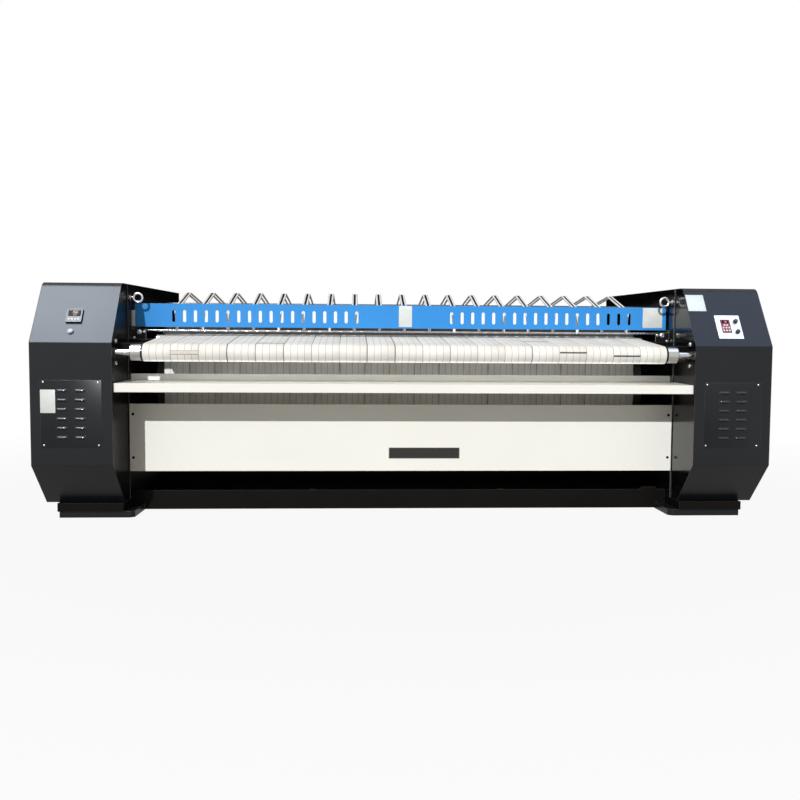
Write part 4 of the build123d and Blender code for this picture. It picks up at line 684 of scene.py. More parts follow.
class Finishes(Enum):
    """The machine's finishes, each named for its real material."""

    # Charcoal powder coat on folded sheet: near black, with a soft wide sheen, and paler folds that are
    # partly painted highlight.
    CHARCOAL = SheetPaint("charcoal_powder_coat", "#15171A", 0.30, 0.25, drift="#181A1D", edge="#7E7F7D")
    # The same coat over the pressed louvres, glossier on their tight curves, where the sun glints, with
    # paler lips that are partly painted highlight.
    PRESSED_CHARCOAL = SheetPaint(
        "charcoal_powder_coat_pressed", "#15171A", 0.12,
        drift="#181A1D", edge="#7E7F7D", edge_width=1.0, peel_height=0.002,
    )
    # Near-black matt: the lacing pins and flap seams, and painted shade in the louvres' mouths and between
    # the wires of each pair.
    DARK_PARTS_AND_PAINTED_SHADE = Moulded("black_parts_and_painted_shade", "#040404", 0.9, 0.05, handled="#070707")
    # Gloss black paint on the cut frame plates: deep, with clear reflections, and pale cut edges that are
    # partly painted highlight.
    GLOSS_BLACK = SheetPaint(
        "gloss_black_paint", "#09090A", 0.16,
        drift="#0D0D0E", edge="#B9BDC0", edge_width=4.0, edge_highlight_share=0.85, peel_height=0.003,
    )
    # The same paint on the left plates, rubbed to a satin that mirrors little, with pale cut edges that are
    # partly painted highlight.
    SATIN_BLACK = SheetPaint(
        "satin_black_paint", "#08080A", 0.30, 0.08,
        drift="#0E0E0F", edge="#A5A8AA", edge_width=4.0, edge_highlight_share=0.8, peel_height=0.003,
    )
    # Brushed-on black paint of the base: thicker and duller, with dust on it, and paler edges that are
    # partly painted highlight.
    BASE_BLACK = SheetPaint(
        "black_chassis_paint", "#0B0A09", 0.45, 0.08, drift="#100E0D", edge="#6B6865", edge_highlight_share=0.4
    )
    # White stove enamel: hard, slightly warm, with crisp pale folds that are a painted highlight.
    WHITE_ENAMEL = SheetPaint(
        "white_stove_enamel", "#F4F4EE", 0.30, drift="#F0F0EA", edge="#FFFFFF",
        drift_size=500.0, peel_height=0.015,
    )
    # Sky-blue safety paint on the finger guard: clean and satin, with a pale blue painted highlight along
    # its edges.
    GUARD_BLUE = SheetPaint(
        "sky_blue_safety_paint", "#3891DC", 0.35, 0.25, drift="#328BD7", edge="#8CC6FF", edge_width=2.0
    )
    # Ground and polished roller steel: bright where it is bare, with rings left by the lathe, and
    # darkened within the belts' width as painted shade of the slits between the belts.
    ROLLER_STEEL = WorkedMetal(
        "polished_roller_steel", "#C9C8C4", 0.16, metallic=1.0,
        shade="#A9A8A4", grain=(1.6, 60.0, 60.0), painted_slit_shade="#24221F", painted_slit_shade_within=1497.0,
    )
    # Drum steel, dulled by heat and wax, with fine turning rings.
    DRUM_STEEL = WorkedMetal(
        "waxed_drum_steel", "#45423F", 0.40, metallic=0.5, shade="#33302D", grain=(3.0, 90.0,
        90.0), spread=0.15,
    )
    # Drawn steel wire and rod, bright with long draw marks.
    DRAWN_WIRE = WorkedMetal(
        "drawn_steel_wire", "#F2F2F0", 0.22, metallic=1.0, shade="#D2D2D0", grain=(6.0, 6.0,
        6.0), edge_width=0.4,
    )
    # White plastic sleeve on the guide wires, smooth and slightly shiny.
    WIRE_SLEEVE = Moulded("white_nylon_sleeve", "#FDFDFC", 0.35, handled="#F6F6F4", patch_size=60.0)
    # Zinc plate on bolts and eyebolts: pale, soft-edged, faintly mottled.
    ZINC = WorkedMetal(
        "bright_zinc_plate", "#DEDEDC", 0.24, metallic=1.0, shade="#B9BBBD", grain=(4.0, 4.0,
        4.0), mark_height=0.01,
    )
    # Dark oiled screws.
    OILED_STEEL = WorkedMetal(
        "black_oiled_steel", "#2B2A29", 0.4, metallic=1.0, shade="#1A1918", grain=(2.0, 2.0, 2.0)
    )
    # Machined sprocket and chain steel, oily and darker.
    CHAIN_STEEL = WorkedMetal(
        "oiled_chain_steel", "#63605C", 0.36, metallic=1.0, shade="#45423F", grain=(2.5, 2.5,
        2.5), spread=0.2,
    )
    # Mild steel sheet of the bed under the belts, polished by them along their run.
    BED_STEEL = WorkedMetal(
        "belt_polished_sheet", "#4A4743", 0.40, metallic=1.0, shade="#383632", grain=(2.0, 120.0, 40.0)
    )
    # Painted cast iron of bearings, gearbox and motor: sandy skin under grey enamel.
    CAST_GREY = WorkedMetal(
        "painted_cast_iron", "#4A5054", 0.5, 0.4, shade="#3C4145", grain=(3.0, 3.0, 3.0), mark_height=0.25
    )
    # Brushed aluminium of the control plate, brushed along X.
    BRUSHED = WorkedMetal(
        "brushed_aluminium", "#DADAD8", 0.3, metallic=0.85, shade="#C4C4C2", grain=(30.0, 0.8, 0.8)
    )
    # Smoked chrome of the key switch: dark, with one bright spot of the sun.
    CHROME = WorkedMetal(
        "smoked_chrome", "#4A4B4D", 0.16, metallic=1.0, shade="#3A3B3D", grain=(8.0, 8.0, 8.0),
        mark_height=0.003,
    )
    # Maroon polyester film of the keypad, slightly domed and satin.
    MAROON = Moulded("maroon_polyester_film", "#6E1B2C", 0.32, handled="#7C2434", patch_size=35.0)
    # Pale printed keys of that film.
    KEY_WHITE = Moulded("pale_polyester_film", "#E9E4E2", 0.4, 0.4, handled="#DAD4D3", patch_size=9.0)
    # Black ABS mouldings of knobs and instrument.
    BLACK_ABS = Moulded("black_abs", "#151516", 0.34, handled="#1D1D1E")
    # Smoked acrylic window of a display.
    SMOKED = Moulded("smoked_acrylic", "#120C0D", 0.45, 0.12, handled="#170F10", grain_height=0.002)
    # Pale ABS moulding of the light-curtain strip.
    PALE_ABS = Moulded("pale_grey_abs", "#C9C7C4", 0.4, 0.45, handled="#BEBCB8", patch_size=40.0)
    # Bare white vinyl of the label places.
    WHITE_VINYL = Moulded("bare_white_vinyl", "#DADEDC", 0.4, 0.45, handled="#D0D5D3", patch_size=60.0)
    # Bare brushed plate on the right slope.
    PALE_PLATE = WorkedMetal(
        "pale_anodised_plate", "#D5DAD9", 0.36, metallic=0.35, shade="#C7CDCC", grain=(25.0, 1.0, 1.0)
    )
    # Black anodised plate with a bright border, left bare.
    NAMEPLATE = BorderedPlate("black_anodised_plate", "#191817", 0.35)
    # Needled polyester belt, off-white, with grey lines of painted shade along its grooves and edges.
    BELT = NeedledCloth("needled_belt_cloth", "#F4F3EF", 0.85, 0.15)
    # Pale cover flap of one lacing.
    FLAP = Moulded(
        "sewn_belt_flap", "#E4E1D6", 0.85, 0.15, handled="#D6D2C6", grain_size=2.0, grain_height=0.15
    )
    # Red display segments of the keypad.
    SEGMENT = LitSegment("red_led_segment", "#FF5A3C", 0.4, 0.3)
    # Pale upper row and amber lower row of the temperature controller.
    PALE_SEGMENT = LitSegment("pale_led_segment", "#E6D2C8", 0.4, 0.3, glow=0.30)
    AMBER_SEGMENT = LitSegment("amber_led_segment", "#C06A36", 0.4, 0.3, glow=0.35)

    def made(self) -> bpy.types.Material:
        """Return the finish's material."""
        return self.value.material()


# ---- Sub-assemblies ----------------------------------------------------------------------------

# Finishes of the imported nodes. The first line with a pattern that a node's name fits is its own.
DRESSED = (
    (Finishes.CHARCOAL, "*_side_cover *_front_shell *_access_panel *_rear_cover *_foot_rail"),
    (Finishes.BASE_BLACK, "*_plinth base_beams floor_pan bed_cross_tubes"),
    (Finishes.SATIN_BLACK, "left_frame_plate left_inner_wall"),
    (Finishes.GLOSS_BLACK, "right_frame_plate right_inner_wall rod_brackets guard_bosses"),
    (Finishes.WHITE_ENAMEL, "feed_shelf *_apron delivery_chute"),
    (Finishes.BED_STEEL, "feed_bed"),
    (Finishes.NAMEPLATE, "nameplate"),
    (Finishes.DRUM_STEEL, "heated_drum"),
    (Finishes.ROLLER_STEEL, "*_roller"),
    (Finishes.DRAWN_WIRE, "wire_rods guide_wires guard_pins"),
    (Finishes.GUARD_BLUE, "guard_panel"),
    (Finishes.PALE_ABS, "guard_sensor"),
    (Finishes.CAST_GREY, "*_bearings gear_motor rotary_steam_joint"),
    (Finishes.CHAIN_STEEL, "*_sprocket drive_chain"),
    (Finishes.BLACK_ABS, "temperature_controller speed_knob stop_button selector_collar"),
    (Finishes.CHROME, "selector_key"),
    (Finishes.BRUSHED, "control_plate"),
    (Finishes.MAROON, "keypad"),
    (Finishes.OILED_STEEL, "panel_screws apron_screws"),
    (Finishes.BELT, "conveyor_belts"),
    (Finishes.ZINC, "*"),
)


@dataclass
class Chassis:
    """Housings, plates, base and sheets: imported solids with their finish, screws and louvres.

    Attributes:
        nodes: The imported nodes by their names.
        sheet_proud: Depth of an access panel's face, which stands before the housing's.
        panel_screws: Distance of its screws from its middle, and their two heights.
        apron_depth: Depth of the apron's face.
        apron_screws: X of the apron's screws, and their two heights.
        rear_screws: Distance from the machine's middle and height of a rear cover's screws.
        take_up: X, depth and height of the feed roller's take-up bearings.
        bolt_rise: Height of a bearing's bolts above and below its middle.
        bearing_x: X of the outer face of a roller's bearings.
        rollers: Depth and height of the rollers that turn in bolted bearings.
        drum_bearing_x: X of the outer face of the drum's bearings.
        drum_bolts: Distance of the drum bearings' bolts from the drum's axis, both ways.
        bracket_depth: Depth of the rod brackets' front face.
        rod_bolts: Radius, distance inboard of the plate, and height of the rod brackets' bolts.
        cover_screws: Depth and height of the flush screws in the side covers.
        panel_size: Width, height and thickness of an access panel's sheet.
        panel_middle: Height of the sheet's middle.
        louvre_column: Distance of each column of louvres from the sheet's middle.
        louvre_count: Louvres in a column.
        louvre_pitch: Height from one louvre to the next.
        louvre_size: Width and height of a louvre, and how far it stands proud.
        clips: X, depth and height of the two cable clips on the front beam.
    """

    nodes: dict[str, bpy.types.Object]
    sheet_proud: float = -2.0
    panel_screws: Triple = (150.0, 447.5, 799.5)
    apron_depth: float = 350.0
    apron_screws: Triple = (1629.0, 596.0, 334.0)
    rear_screws: Pairs = tuple((x, z) for x in (1680.0, 2070.0) for z in (130.0, 540.0, 950.0, 1362.0))
    take_up: Triple = (1655.0, 98.0, 967.0)
    bolt_rise: float = 62.5
    bearing_x: float = 1676.0
    rollers: Pairs = (
        (681.06, 1032.56), (1402.24, 1001.08), (1402.24, 250.0), (655.6, 250.0), (582.0, 942.0),
    )
    drum_bearing_x: float = 1685.0
    drum_bolts: float = 95.0
    bracket_depth: float = 430.0
    rod_bolts: tuple[Triple, ...] = ((9.0, 13.0, 1052.0), (17.0, 43.5, 1086.0), (9.0, 74.0, 1088.0))
    cover_screws: Pairs = (
        (300, 130), (860, 130), (1420, 130), (1760, 130), (1760, 720),
        (1760, 1365), (1280, 1352), (780, 1339), (290, 1326), (40, 980), (40, 380),
    )
    panel_size: Triple = (337.0, 380.0, 2.0)
    panel_middle: float = 621.0
    louvre_column: float = 50.0
    louvre_count: int = 6
    louvre_pitch: float = 52.4
    louvre_size: Triple = (60.0, 16.0, 8.9)
    clips: tuple[Triple, Triple] = ((-567.0, 455.0, 120.0), (608.0, 455.0, 120.0))

    def dress(self) -> None:
        """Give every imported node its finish."""
        table = [(pattern, finish) for finish, patterns in DRESSED for pattern in patterns.split()]
        for name, node in self.nodes.items():
            finish = next(finish for pattern, finish in table if fnmatch(name, pattern)).made()
            if not node.material_slots:
                node.data.materials.append(finish)
            for slot in node.material_slots:
                slot.material = finish
        LOG.info("finishes on %d packed nodes", len(self.nodes))

    def screw_head(self, radius: float = 5.5, height: float = 3.0) -> Shape:
        """Return a pan-head screw: a low dome with a sunk round drive."""
        rows = ((1.0, 0.0), (1.0, 0.35), (0.86, 0.75), (0.6, 0.96), (0.34, 1.0), (0.30, 0.45))
        return turned(radius, tuple((radius * r, height * z) for r, z in rows))

    def bolt_head(self, radius: float) -> Shape:
        """Return a socket-head bolt of a radius: a domed cap with a sunk socket, flat on its seat."""
        rows = ((1.0, 0.0), (1.0, 0.36), (0.91, 0.62), (0.71, 0.80), (0.51, 0.89), (0.47, 0.39))
        return turned(radius, tuple((radius * r, 9.0 * z) for r, z in rows))

    def build_screws(self) -> None:
        """Place the screws of the access panels, the apron and the covers."""
        head, broad = self.screw_head(), self.screw_head(8.5, 3.5)
        flush = turned(7.0, ((7.0, -1.0), (7.0, 0.1), (5.5, 0.25), (2.4, 0.3), (2.0, -0.8)))
        across, *heights = self.apron_screws
        places = [(x, z) for x in (-across, across) for z in heights]
        apron = [broad.placed(Facing.FRONT.at(x, self.apron_depth, z)) for x, z in places]
        panels, covers, rear = [], [], []
        offset, *heights = self.panel_screws
        for side, facing in ((-1, Facing.LEFT), (1, Facing.RIGHT)):
            # The right panel's screws sit 5 mm nearer the machine's middle than its sheet does.
            middle = side * PANEL_X - (5.0 if side > 0 else 0.0)
            places = [(x, z) for x in (middle - offset, middle + offset) for z in heights]
            panels += [head.placed(Facing.FRONT.at(x, self.sheet_proud, z)) for x, z in places]
            covers += [flush.placed(facing.at(side * OUTER_X, d, z)) for d, z in self.cover_screws]
            rear += [head.placed(Facing.REAR.at(side * x, MACHINE_DEPTH, z)) for x, z in self.rear_screws]
        piece("panel_screw_heads", {Finishes.ZINC: panels}, "panel_screws")
        piece("apron_screw_heads", {Finishes.OILED_STEEL: apron}, "apron_screws")
        piece("cover_screws", {Finishes.OILED_STEEL: covers + rear})

    def build_bolts(self) -> None:
        """Place the socket-head bolts of the bearings, the take-ups and the rod brackets."""
        plain, cap = self.bolt_head(9.0), self.bolt_head(12.5)
        rises = (-self.bolt_rise, self.bolt_rise)
        offsets = (-self.drum_bolts, self.drum_bolts)
        depth, height = DRUM_CENTRE
        x, near, level = self.take_up
        heads: list[Shape] = []
        for side, outward, inboard in ((-1, Facing.LEFT, Facing.RIGHT), (1, Facing.RIGHT, Facing.LEFT)):
            heads += [cap.placed(inboard.at(side * x, near, level + rise)) for rise in rises]
            places = [(d, z + rise) for d, z in self.rollers for rise in rises]
            heads += [plain.placed(outward.at(side * self.bearing_x, d, z)) for d, z in places]
            places = [(depth + along, height + rise) for along in offsets for rise in offsets]
            heads += [plain.placed(outward.at(side * self.drum_bearing_x, d, z)) for d, z in places]
            for radius, inset, z in self.rod_bolts:
                place = Facing.FRONT.at(side * (PLATE_X - inset), self.bracket_depth, z)
                heads.append(self.bolt_head(radius).placed(place))
        piece("frame_bolt_heads", {Finishes.ZINC: heads}, "frame_bolts")

    def hood(self) -> Shape:
        """Press one louvre hood about its middle.

        Across it, u runs from -1 to 1, and the hood stands proud by the square root of one less
        u to the fifth power. Down it, the section is an elliptical arc that starts at the sheet,
        passes its fullest height and curls under at the lip.

        Returns:
            The closed hood.
        """
        width, height, proud = self.louvre_size
        u = np.sin(np.linspace(-np.pi / 2, np.pi / 2, 17))[:, None]
        swell = proud * np.sqrt(np.maximum(1.0 - np.abs(u) ** 5, 0.0)) + 0.1
        turn = np.radians(np.linspace(0.0, 115.0, 8))
        rise = height / 2 - 9.0 * (1.0 - np.cos(turn))
        y, out = np.append(rise, rise[-1]), np.append(np.sin(turn), 0.0)
        grid = np.broadcast_arrays(u * width / 2, y, swell * out)
        faces = list(ring_faces(len(u), len(y), loop=False))
        faces += [np.arange(len(y))[::-1], np.arange(len(y)) + (len(u) - 1) * len(y)]
        return Shape(np.stack(grid, axis=-1).reshape(-1, 3), faces)

    def build_panels(self) -> None:
        """Build the two access panels: a bolted sheet, twelve hoods, and a near-black patch of painted
        shade below each hood.
        """
        sheet, hood = plate(*self.panel_size, 1.5, edge=0.5), self.hood()
        # A near-black patch below each hood's lip: painted shade of the louvre's mouth.
        mouth_shade = stacked(self.louvre_size[0] - 5.0, 4.6, 2.2, ((0.0, 1.0), (0.0, 2.2)), steps=3)
        mouth_shade = mouth_shade.moved(0.0, -6.4)
        proud = self.sheet_proud
        middles = (-PANEL_X, PANEL_X)
        steps = np.arange(self.louvre_count) - (self.louvre_count - 1) / 2
        rows = self.panel_middle + steps * self.louvre_pitch
        columns = (-self.louvre_column, self.louvre_column)
        places = [(x + column, float(z)) for x in middles for column in columns for z in rows]
        parts = {
            Finishes.CHARCOAL: [sheet.placed(Facing.FRONT.at(x, 0.0, self.panel_middle)) for x in middles],
            Finishes.PRESSED_CHARCOAL: [hood.placed(Facing.FRONT.at(x, proud, z)) for x, z in places],
            Finishes.DARK_PARTS_AND_PAINTED_SHADE: [mouth_shade.placed(Facing.FRONT.at(x, 0.0, z)) for x, z in places],
        }
        sheets = "left_access_panel right_access_panel"
        piece("access_panel_sheets", parts, sheets, smooth=60.0)

    def build_clips(self) -> None:
        """Lay two small cable clips, each a flat plate with a raised bump, on the front beam's top."""
        clip = stacked(44.0, 36.0, 3.0, ((0.0, 0.0), (0.0, 2.2), (0.6, 3.0)))
        bump = stacked(16.0, 10.0, 5.0, ((0.0, 2.5), (0.0, 5.0), (1.2, 7.0), (3.0, 8.0)))
        tops = [Facing.TOP.at(*place) for place in self.clips]
        shapes = [shape.placed(top) for top in tops for shape in (clip, bump)]
        piece("beam_clips", {Finishes.BASE_BLACK: shapes})


class Spacing(Enum):
    """How the belts lie side by side at a place of their path: the row of BeltRun's slits."""

    EVEN = 0
    FEED = 1
    FRONT = 2


@dataclass
class BeltRun:
    """The nineteen cloth belts: one closed path round the rollers and the drum.

    The path is made of arcs round circles and the straight lines that touch two neighbours. A
    line leaves circle one and meets circle two at the heading of their centres less the arcsine
    of the difference of their signed radii over their distance.

    Attributes:
        circles: Depth, height, radius of the belt's middle and turn of each circle in order.
        spacing: How the belts lie on each circle.
        count: Number of belts.
        width: Width of a belt.
        thickness: Thickness of the cloth.
        even_slit: Slit between two belts where they lie evenly.
        feed_slits: Each slit on the feed roller, where the belts have crept together.
        front_slits: Each slit on the front run.
        front_shift: How far the whole row stands to the right on the front run.
        drum_step: Largest angle in degrees between two points round the drum.
        roller_step: The same round a roller.
        line_step: Largest distance between two points of a straight line.
    """

    circles: tuple[tuple[float, float, float, int], ...] = (
        (681.06, 1032.56, 46.8, 1),
        (55.0, 967.0, 49.3, 1),
        (582.0, 942.0, 31.8, -1),
        (655.6, 250.0, 41.8, 1),
        (1402.24, 250.0, 46.8, 1),
        (1402.24, 1001.08, 46.8, 1),
        (1030.0, 750.0, 401.8, -1),
    )
    spacing: tuple[Spacing, ...] = (
        Spacing.EVEN, Spacing.FEED, Spacing.FRONT, Spacing.FRONT, Spacing.EVEN, Spacing.EVEN, Spacing.EVEN,
    )
    count: int = 19
    width: float = 154.9
    thickness: float = 3.0
    even_slit: float = 2.995
    feed_slits: tuple[float, ...] = (
        0.8, 0.7, 4.0, 2.2, 2.5, 0.7, 0.8, 3.0, 3.5, 0.7, 2.0, 0.7, 0.7, 3.0, 0.7, 0.7, 0.7, 0.8,
    )
    front_slits: tuple[float, ...] = (
        2.4, 3.2, 1.9, 0.7, 1.9, 3.7, 3.2, 3.5, 1.9, 2.7, 3.4, 1.1, 3.8, 1.3, 2.4, 3.4, 1.9, 1.4,
    )
    front_shift: float = -6.0
    drum_step: float = 3.0
    roller_step: float = 9.0
    line_step: float = 70.0

    def touch(self, first: int) -> tuple[Array, Array]:
        """Return where the line after a circle leaves it and where it meets the next one."""
        d1, z1, r1, s1 = self.circles[first]
        d2, z2, r2, s2 = self.circles[(first + 1) % len(self.circles)]
        span = math.hypot(d2 - d1, z2 - z1)
        heading = math.atan2(z2 - z1, d2 - d1) - math.asin((s2 * r2 - s1 * r1) / span)
        left = np.array([-math.sin(heading), math.cos(heading)])
        return np.array([d1, z1]) - s1 * r1 * left, np.array([d2, z2]) - s2 * r2 * left

    def mix(self, first: int, share: Array) -> Array:
        """Return the shares of the three spacings along the line after a circle.

        Args:
            first: Number of the circle.
            share: Share of the line at each place, 0 where it leaves the circle.

        Returns:
            One row for each place, whose three shares add up to 1.
        """
        here, beyond = self.spacing[first], self.spacing[(first + 1) % len(self.spacing)]
        ends = np.eye(len(Spacing))[[here.value, beyond.value]]
        return np.stack([1.0 - share, share], axis=-1) @ ends

    def left_edges(self, mix: Array) -> Array:
        """Return the X of each belt's left edge for each row of shares.

        In one spacing, a belt starts where the one before it ends plus the slit between them.
        The row is centred on the machine, then shifted.
        """
        slits = np.array([[self.even_slit] * (self.count - 1), self.feed_slits, self.front_slits])
        starts = np.arange(self.count) * self.width + np.pad(np.cumsum(slits, axis=1), ((0, 0), (1, 0)))
        middle = (starts[:, -1:] + self.width) / 2
        return mix @ (starts - middle + np.array([[0.0], [0.0], [self.front_shift]]))

    def path(self) -> tuple[Array, Array, Array]:
        """Lay points along the whole path, with the direction out of the loop at each.

        Returns:
            Depth and height of each point, the outward direction there, and the shares of the
            three spacings.
        """
        points, outward, mixes = [], [], []
        count = len(self.circles)
        for i, (depth, height, radius, turn) in enumerate(self.circles):
            centre = np.array([depth, height])
            meet, (leave, after) = self.touch((i - 1) % count)[1], self.touch(i)
            first = math.atan2(*(meet - centre)[::-1])
            last = math.atan2(*(leave - centre)[::-1])
            sweep = (turn * (last - first)) % (2 * math.pi)
            step = math.radians(self.drum_step if radius > 200 else self.roller_step)
            angles = first + turn * np.linspace(0.0, sweep, max(3, math.ceil(sweep / step)) + 1)
            spokes = np.stack([np.cos(angles), np.sin(angles)], axis=-1)
            points.append(centre + radius * spokes)
            outward.append(turn * spokes)
            mixes.append(self.mix(i, np.zeros(len(spokes))))
            steps = max(2, math.ceil(np.linalg.norm(after - leave) / self.line_step))
            share = np.linspace(0.0, 1.0, steps + 1)[1:-1, None]
            points.append(leave + share * (after - leave))
            outward.append(np.repeat(turn * spokes[-1:], len(share), axis=0))
            mixes.append(self.mix(i, share[:, 0]))
        return np.concatenate(points), np.concatenate(outward), np.concatenate(mixes)

    def belt(self, number: int) -> Shape:
        """Carry a belt's flat rounded section along the path.

        Each section point is the path's point plus its own height along the outward direction.
        The belt wanders sideways by up to a quarter of a millimetre, as two sines of the length
        whose periods divide the belt's length, so the loop closes.

        Args:
            number: Number of the belt from the left, which also sets the wander's phase.

        Returns:
            The closed belt with its UV.
        """
        points, outward, mix = self.path()
        lengths = np.linalg.norm(np.roll(points, -1, axis=0) - points, axis=1)
        reach = np.concatenate([[0.0], np.cumsum(lengths)])
        phase = 2 * math.pi * reach[:-1] / reach[-1]
        wander = 0.15 * np.sin(5 * phase + number * 1.7) + 0.1 * np.sin(11 * phase + number * 2.9)
        low = self.left_edges(mix)[:, number] + wander
        half = self.thickness / 2
        across = np.array([0.0, 0.008, 0.5, 0.992, 1.0, 1.0, 0.992, 0.5, 0.008, 0.0])
        rise = np.array([0.5, 1.0, 1.06, 1.0, 0.5, -0.5, -1.0, -1.0, -1.0, -0.5]) * half
        x = low[:, None] + self.width * across[None, :]
        depth = points[:, 0:1] + outward[:, 0:1] * rise
        height = points[:, 1:2] + outward[:, 1:2] * rise
        rows, columns = x.shape
        faces = ring_faces(rows, columns, loop=True)
        row = np.repeat(np.arange(rows), columns)
        column = np.tile(np.arange(columns), rows)
        beside = (column + 1) % columns
        u = np.stack([across[column], across[beside], across[beside], across[column]], axis=-1)
        v = np.stack([reach[row], reach[row], reach[row + 1], reach[row + 1]], axis=-1) / METRE
        uv = np.stack([u + number * 2.0, v], axis=-1).reshape(-1, 2)
        return Shape(np.stack([x, depth, height], axis=-1).reshape(-1, 3), list(faces), uv)

    def build(self) -> None:
        """Build all belts as one piece."""
        belts = [self.belt(number) for number in range(self.count)]
        piece("cloth_belts", {Finishes.BELT: belts}, "conveyor_belts", smooth=50.0)


@dataclass
class Lacings:
    """The hinge-like hooks that join each belt's two ends.

    Attributes:
        run: The belts that they join.
        on_roller: Angle round the feed roller of the lacings that lie there.
        on_top: Share of the top run, from the nip end, of those that lie on it.
        flapped: The belt whose lacing has a cover flap sewn over it.
        flap_length: Length of the flap along the belt.
        hooks: Hooks across one belt.
        length: Length of a hook along the belt.
        clearance: Distance of the hooks from the cloth.
    """

    run: BeltRun
    on_roller: dict[int, float] = field(default_factory=lambda: {1: 180.0, 15: 167.0, 17: 187.0})
    on_top: dict[int, float] = field(default_factory=lambda: {4: 0.93, 14: 0.62})
    flapped: int = 1
    flap_length: float = 20.0
    hooks: int = 26
    length: float = 11.0
    clearance: float = 0.2

    def facing(self, x: float, place: Array, out: Array) -> Frame:
        """Return the frame on the belt's outer face, with its right along X.

        Args:
            x: X of the frame.
            place: Depth and height on the belt's middle line.
            out: Direction out of the loop, in depth and height.

        Returns:
            The frame, just clear of the cloth.
        """
        place = place + out * (self.run.thickness / 2 + self.clearance)
        up, away = (0.0, -out[1], out[0]), (0.0, out[0], out[1])
        return Frame((x, float(place[0]), float(place[1])), (1.0, 0.0, 0.0), up, away)

    def middle(self, belt: int, first: int, share: float) -> float:
        """Return the X of a belt's middle at a share of the line after a circle."""
        mix = self.run.mix(first, np.array([share]))
        return float(self.run.left_edges(mix)[0, belt]) + self.run.width / 2

    def frame_of(self, belt: int, along: float = 0.0) -> Frame:
        """Find where a belt's lacing lies and how it faces.

        Args:
            belt: Number of the belt from the left.
            along: Distance round the feed roller from the lacing's middle.

        Returns:
            The frame on the belt's outer face: right along X and out of the loop.
        """
        if belt in self.on_roller:
            depth, height, radius, _ = self.run.circles[1]
            turn = math.radians(self.on_roller[belt]) + along / radius
            out = np.array([math.cos(turn), math.sin(turn)])
            return self.facing(self.middle(belt, 1, 0.0), np.array([depth, height]) + radius * out, out)
        first, share = (0, self.on_top[belt]) if belt in self.on_top else (3, self.low_share(belt))
        leave, meet = self.run.touch(first)
        heading = (meet - leave) / np.linalg.norm(meet - leave)
        out = np.array([heading[1], -heading[0]])
        return self.facing(self.middle(belt, first, share), leave + share * (meet - leave), out)

    def low_share(self, belt: int) -> float:
        """Return the share of the bottom run at which a belt's lacing lies."""
        return 0.15 + 0.70 * ((belt * 7) % self.run.count) / self.run.count

    def hook_row(self, width: float) -> Shape:
        """Set flat wire hooks side by side across a belt.

        Args:
            width: Width of the belt.

        Returns:
            The hooks, shifted along the belt to one side and the other in turn.
        """
        pitch = width / self.hooks
        hook = stacked(pitch * 0.74, self.length * 0.86, 0.8, ((0.0, 0.0), (0.0, 0.6), (0.4, 1.0)), steps=2)
        middles = (np.arange(self.hooks) + 0.5) * pitch - width / 2
        shifts = np.where(np.arange(self.hooks) % 2 == 0, 0.7, -0.7)
        return joined([hook.moved(x, shift) for x, shift in zip(middles, shifts)])

    def flap(self, width: float) -> tuple[list[Shape], list[Shape]]:
        """Sew a cover flap over one lacing, in narrow flat strips that follow the roller's round.

        Args:
            width: Width of the flap.

        Returns:
            The cloth strips, and the two dark seams at their ends.
        """
        reach = self.flap_length
        strip = stacked(width, reach / 5 + 0.3, 0.3, ((0.0, 0.0), (0.0, 0.5), (0.2, 0.7)), steps=2)
        seam = stacked(width, 1.6, 0.2, ((0.0, 0.0), (0.0, 0.8), (0.3, 1.0)), steps=2)
        belt = self.flapped
        cloth = [strip.placed(self.frame_of(belt, reach * share)) for share in (-0.4, -0.2, 0.0, 0.2, 0.4)]
        seams = [seam.placed(self.frame_of(belt, reach * share)) for share in (-0.5, 0.5)]
        return cloth, seams

    def build(self) -> None:
        """Build every lacing as one piece: hooks, their pin and one sewn flap."""
        width = self.run.width - 1.5
        row = self.hook_row(width)
        pin = stacked(width, 2.2, 0.3, ((0.0, 0.0), (0.0, 0.95), (0.2, 1.15)), steps=2)
        bare = [belt for belt in range(self.run.count) if belt != self.flapped]
        cloth, seams = self.flap(width)
        parts = {
            Finishes.OILED_STEEL: [row.placed(self.frame_of(belt)) for belt in bare],
            Finishes.DARK_PARTS_AND_PAINTED_SHADE: [pin.placed(self.frame_of(belt)) for belt in bare] + seams,
            Finishes.FLAP: cloth,
        }
        piece("lacing_hooks", parts, "belt_lacings")


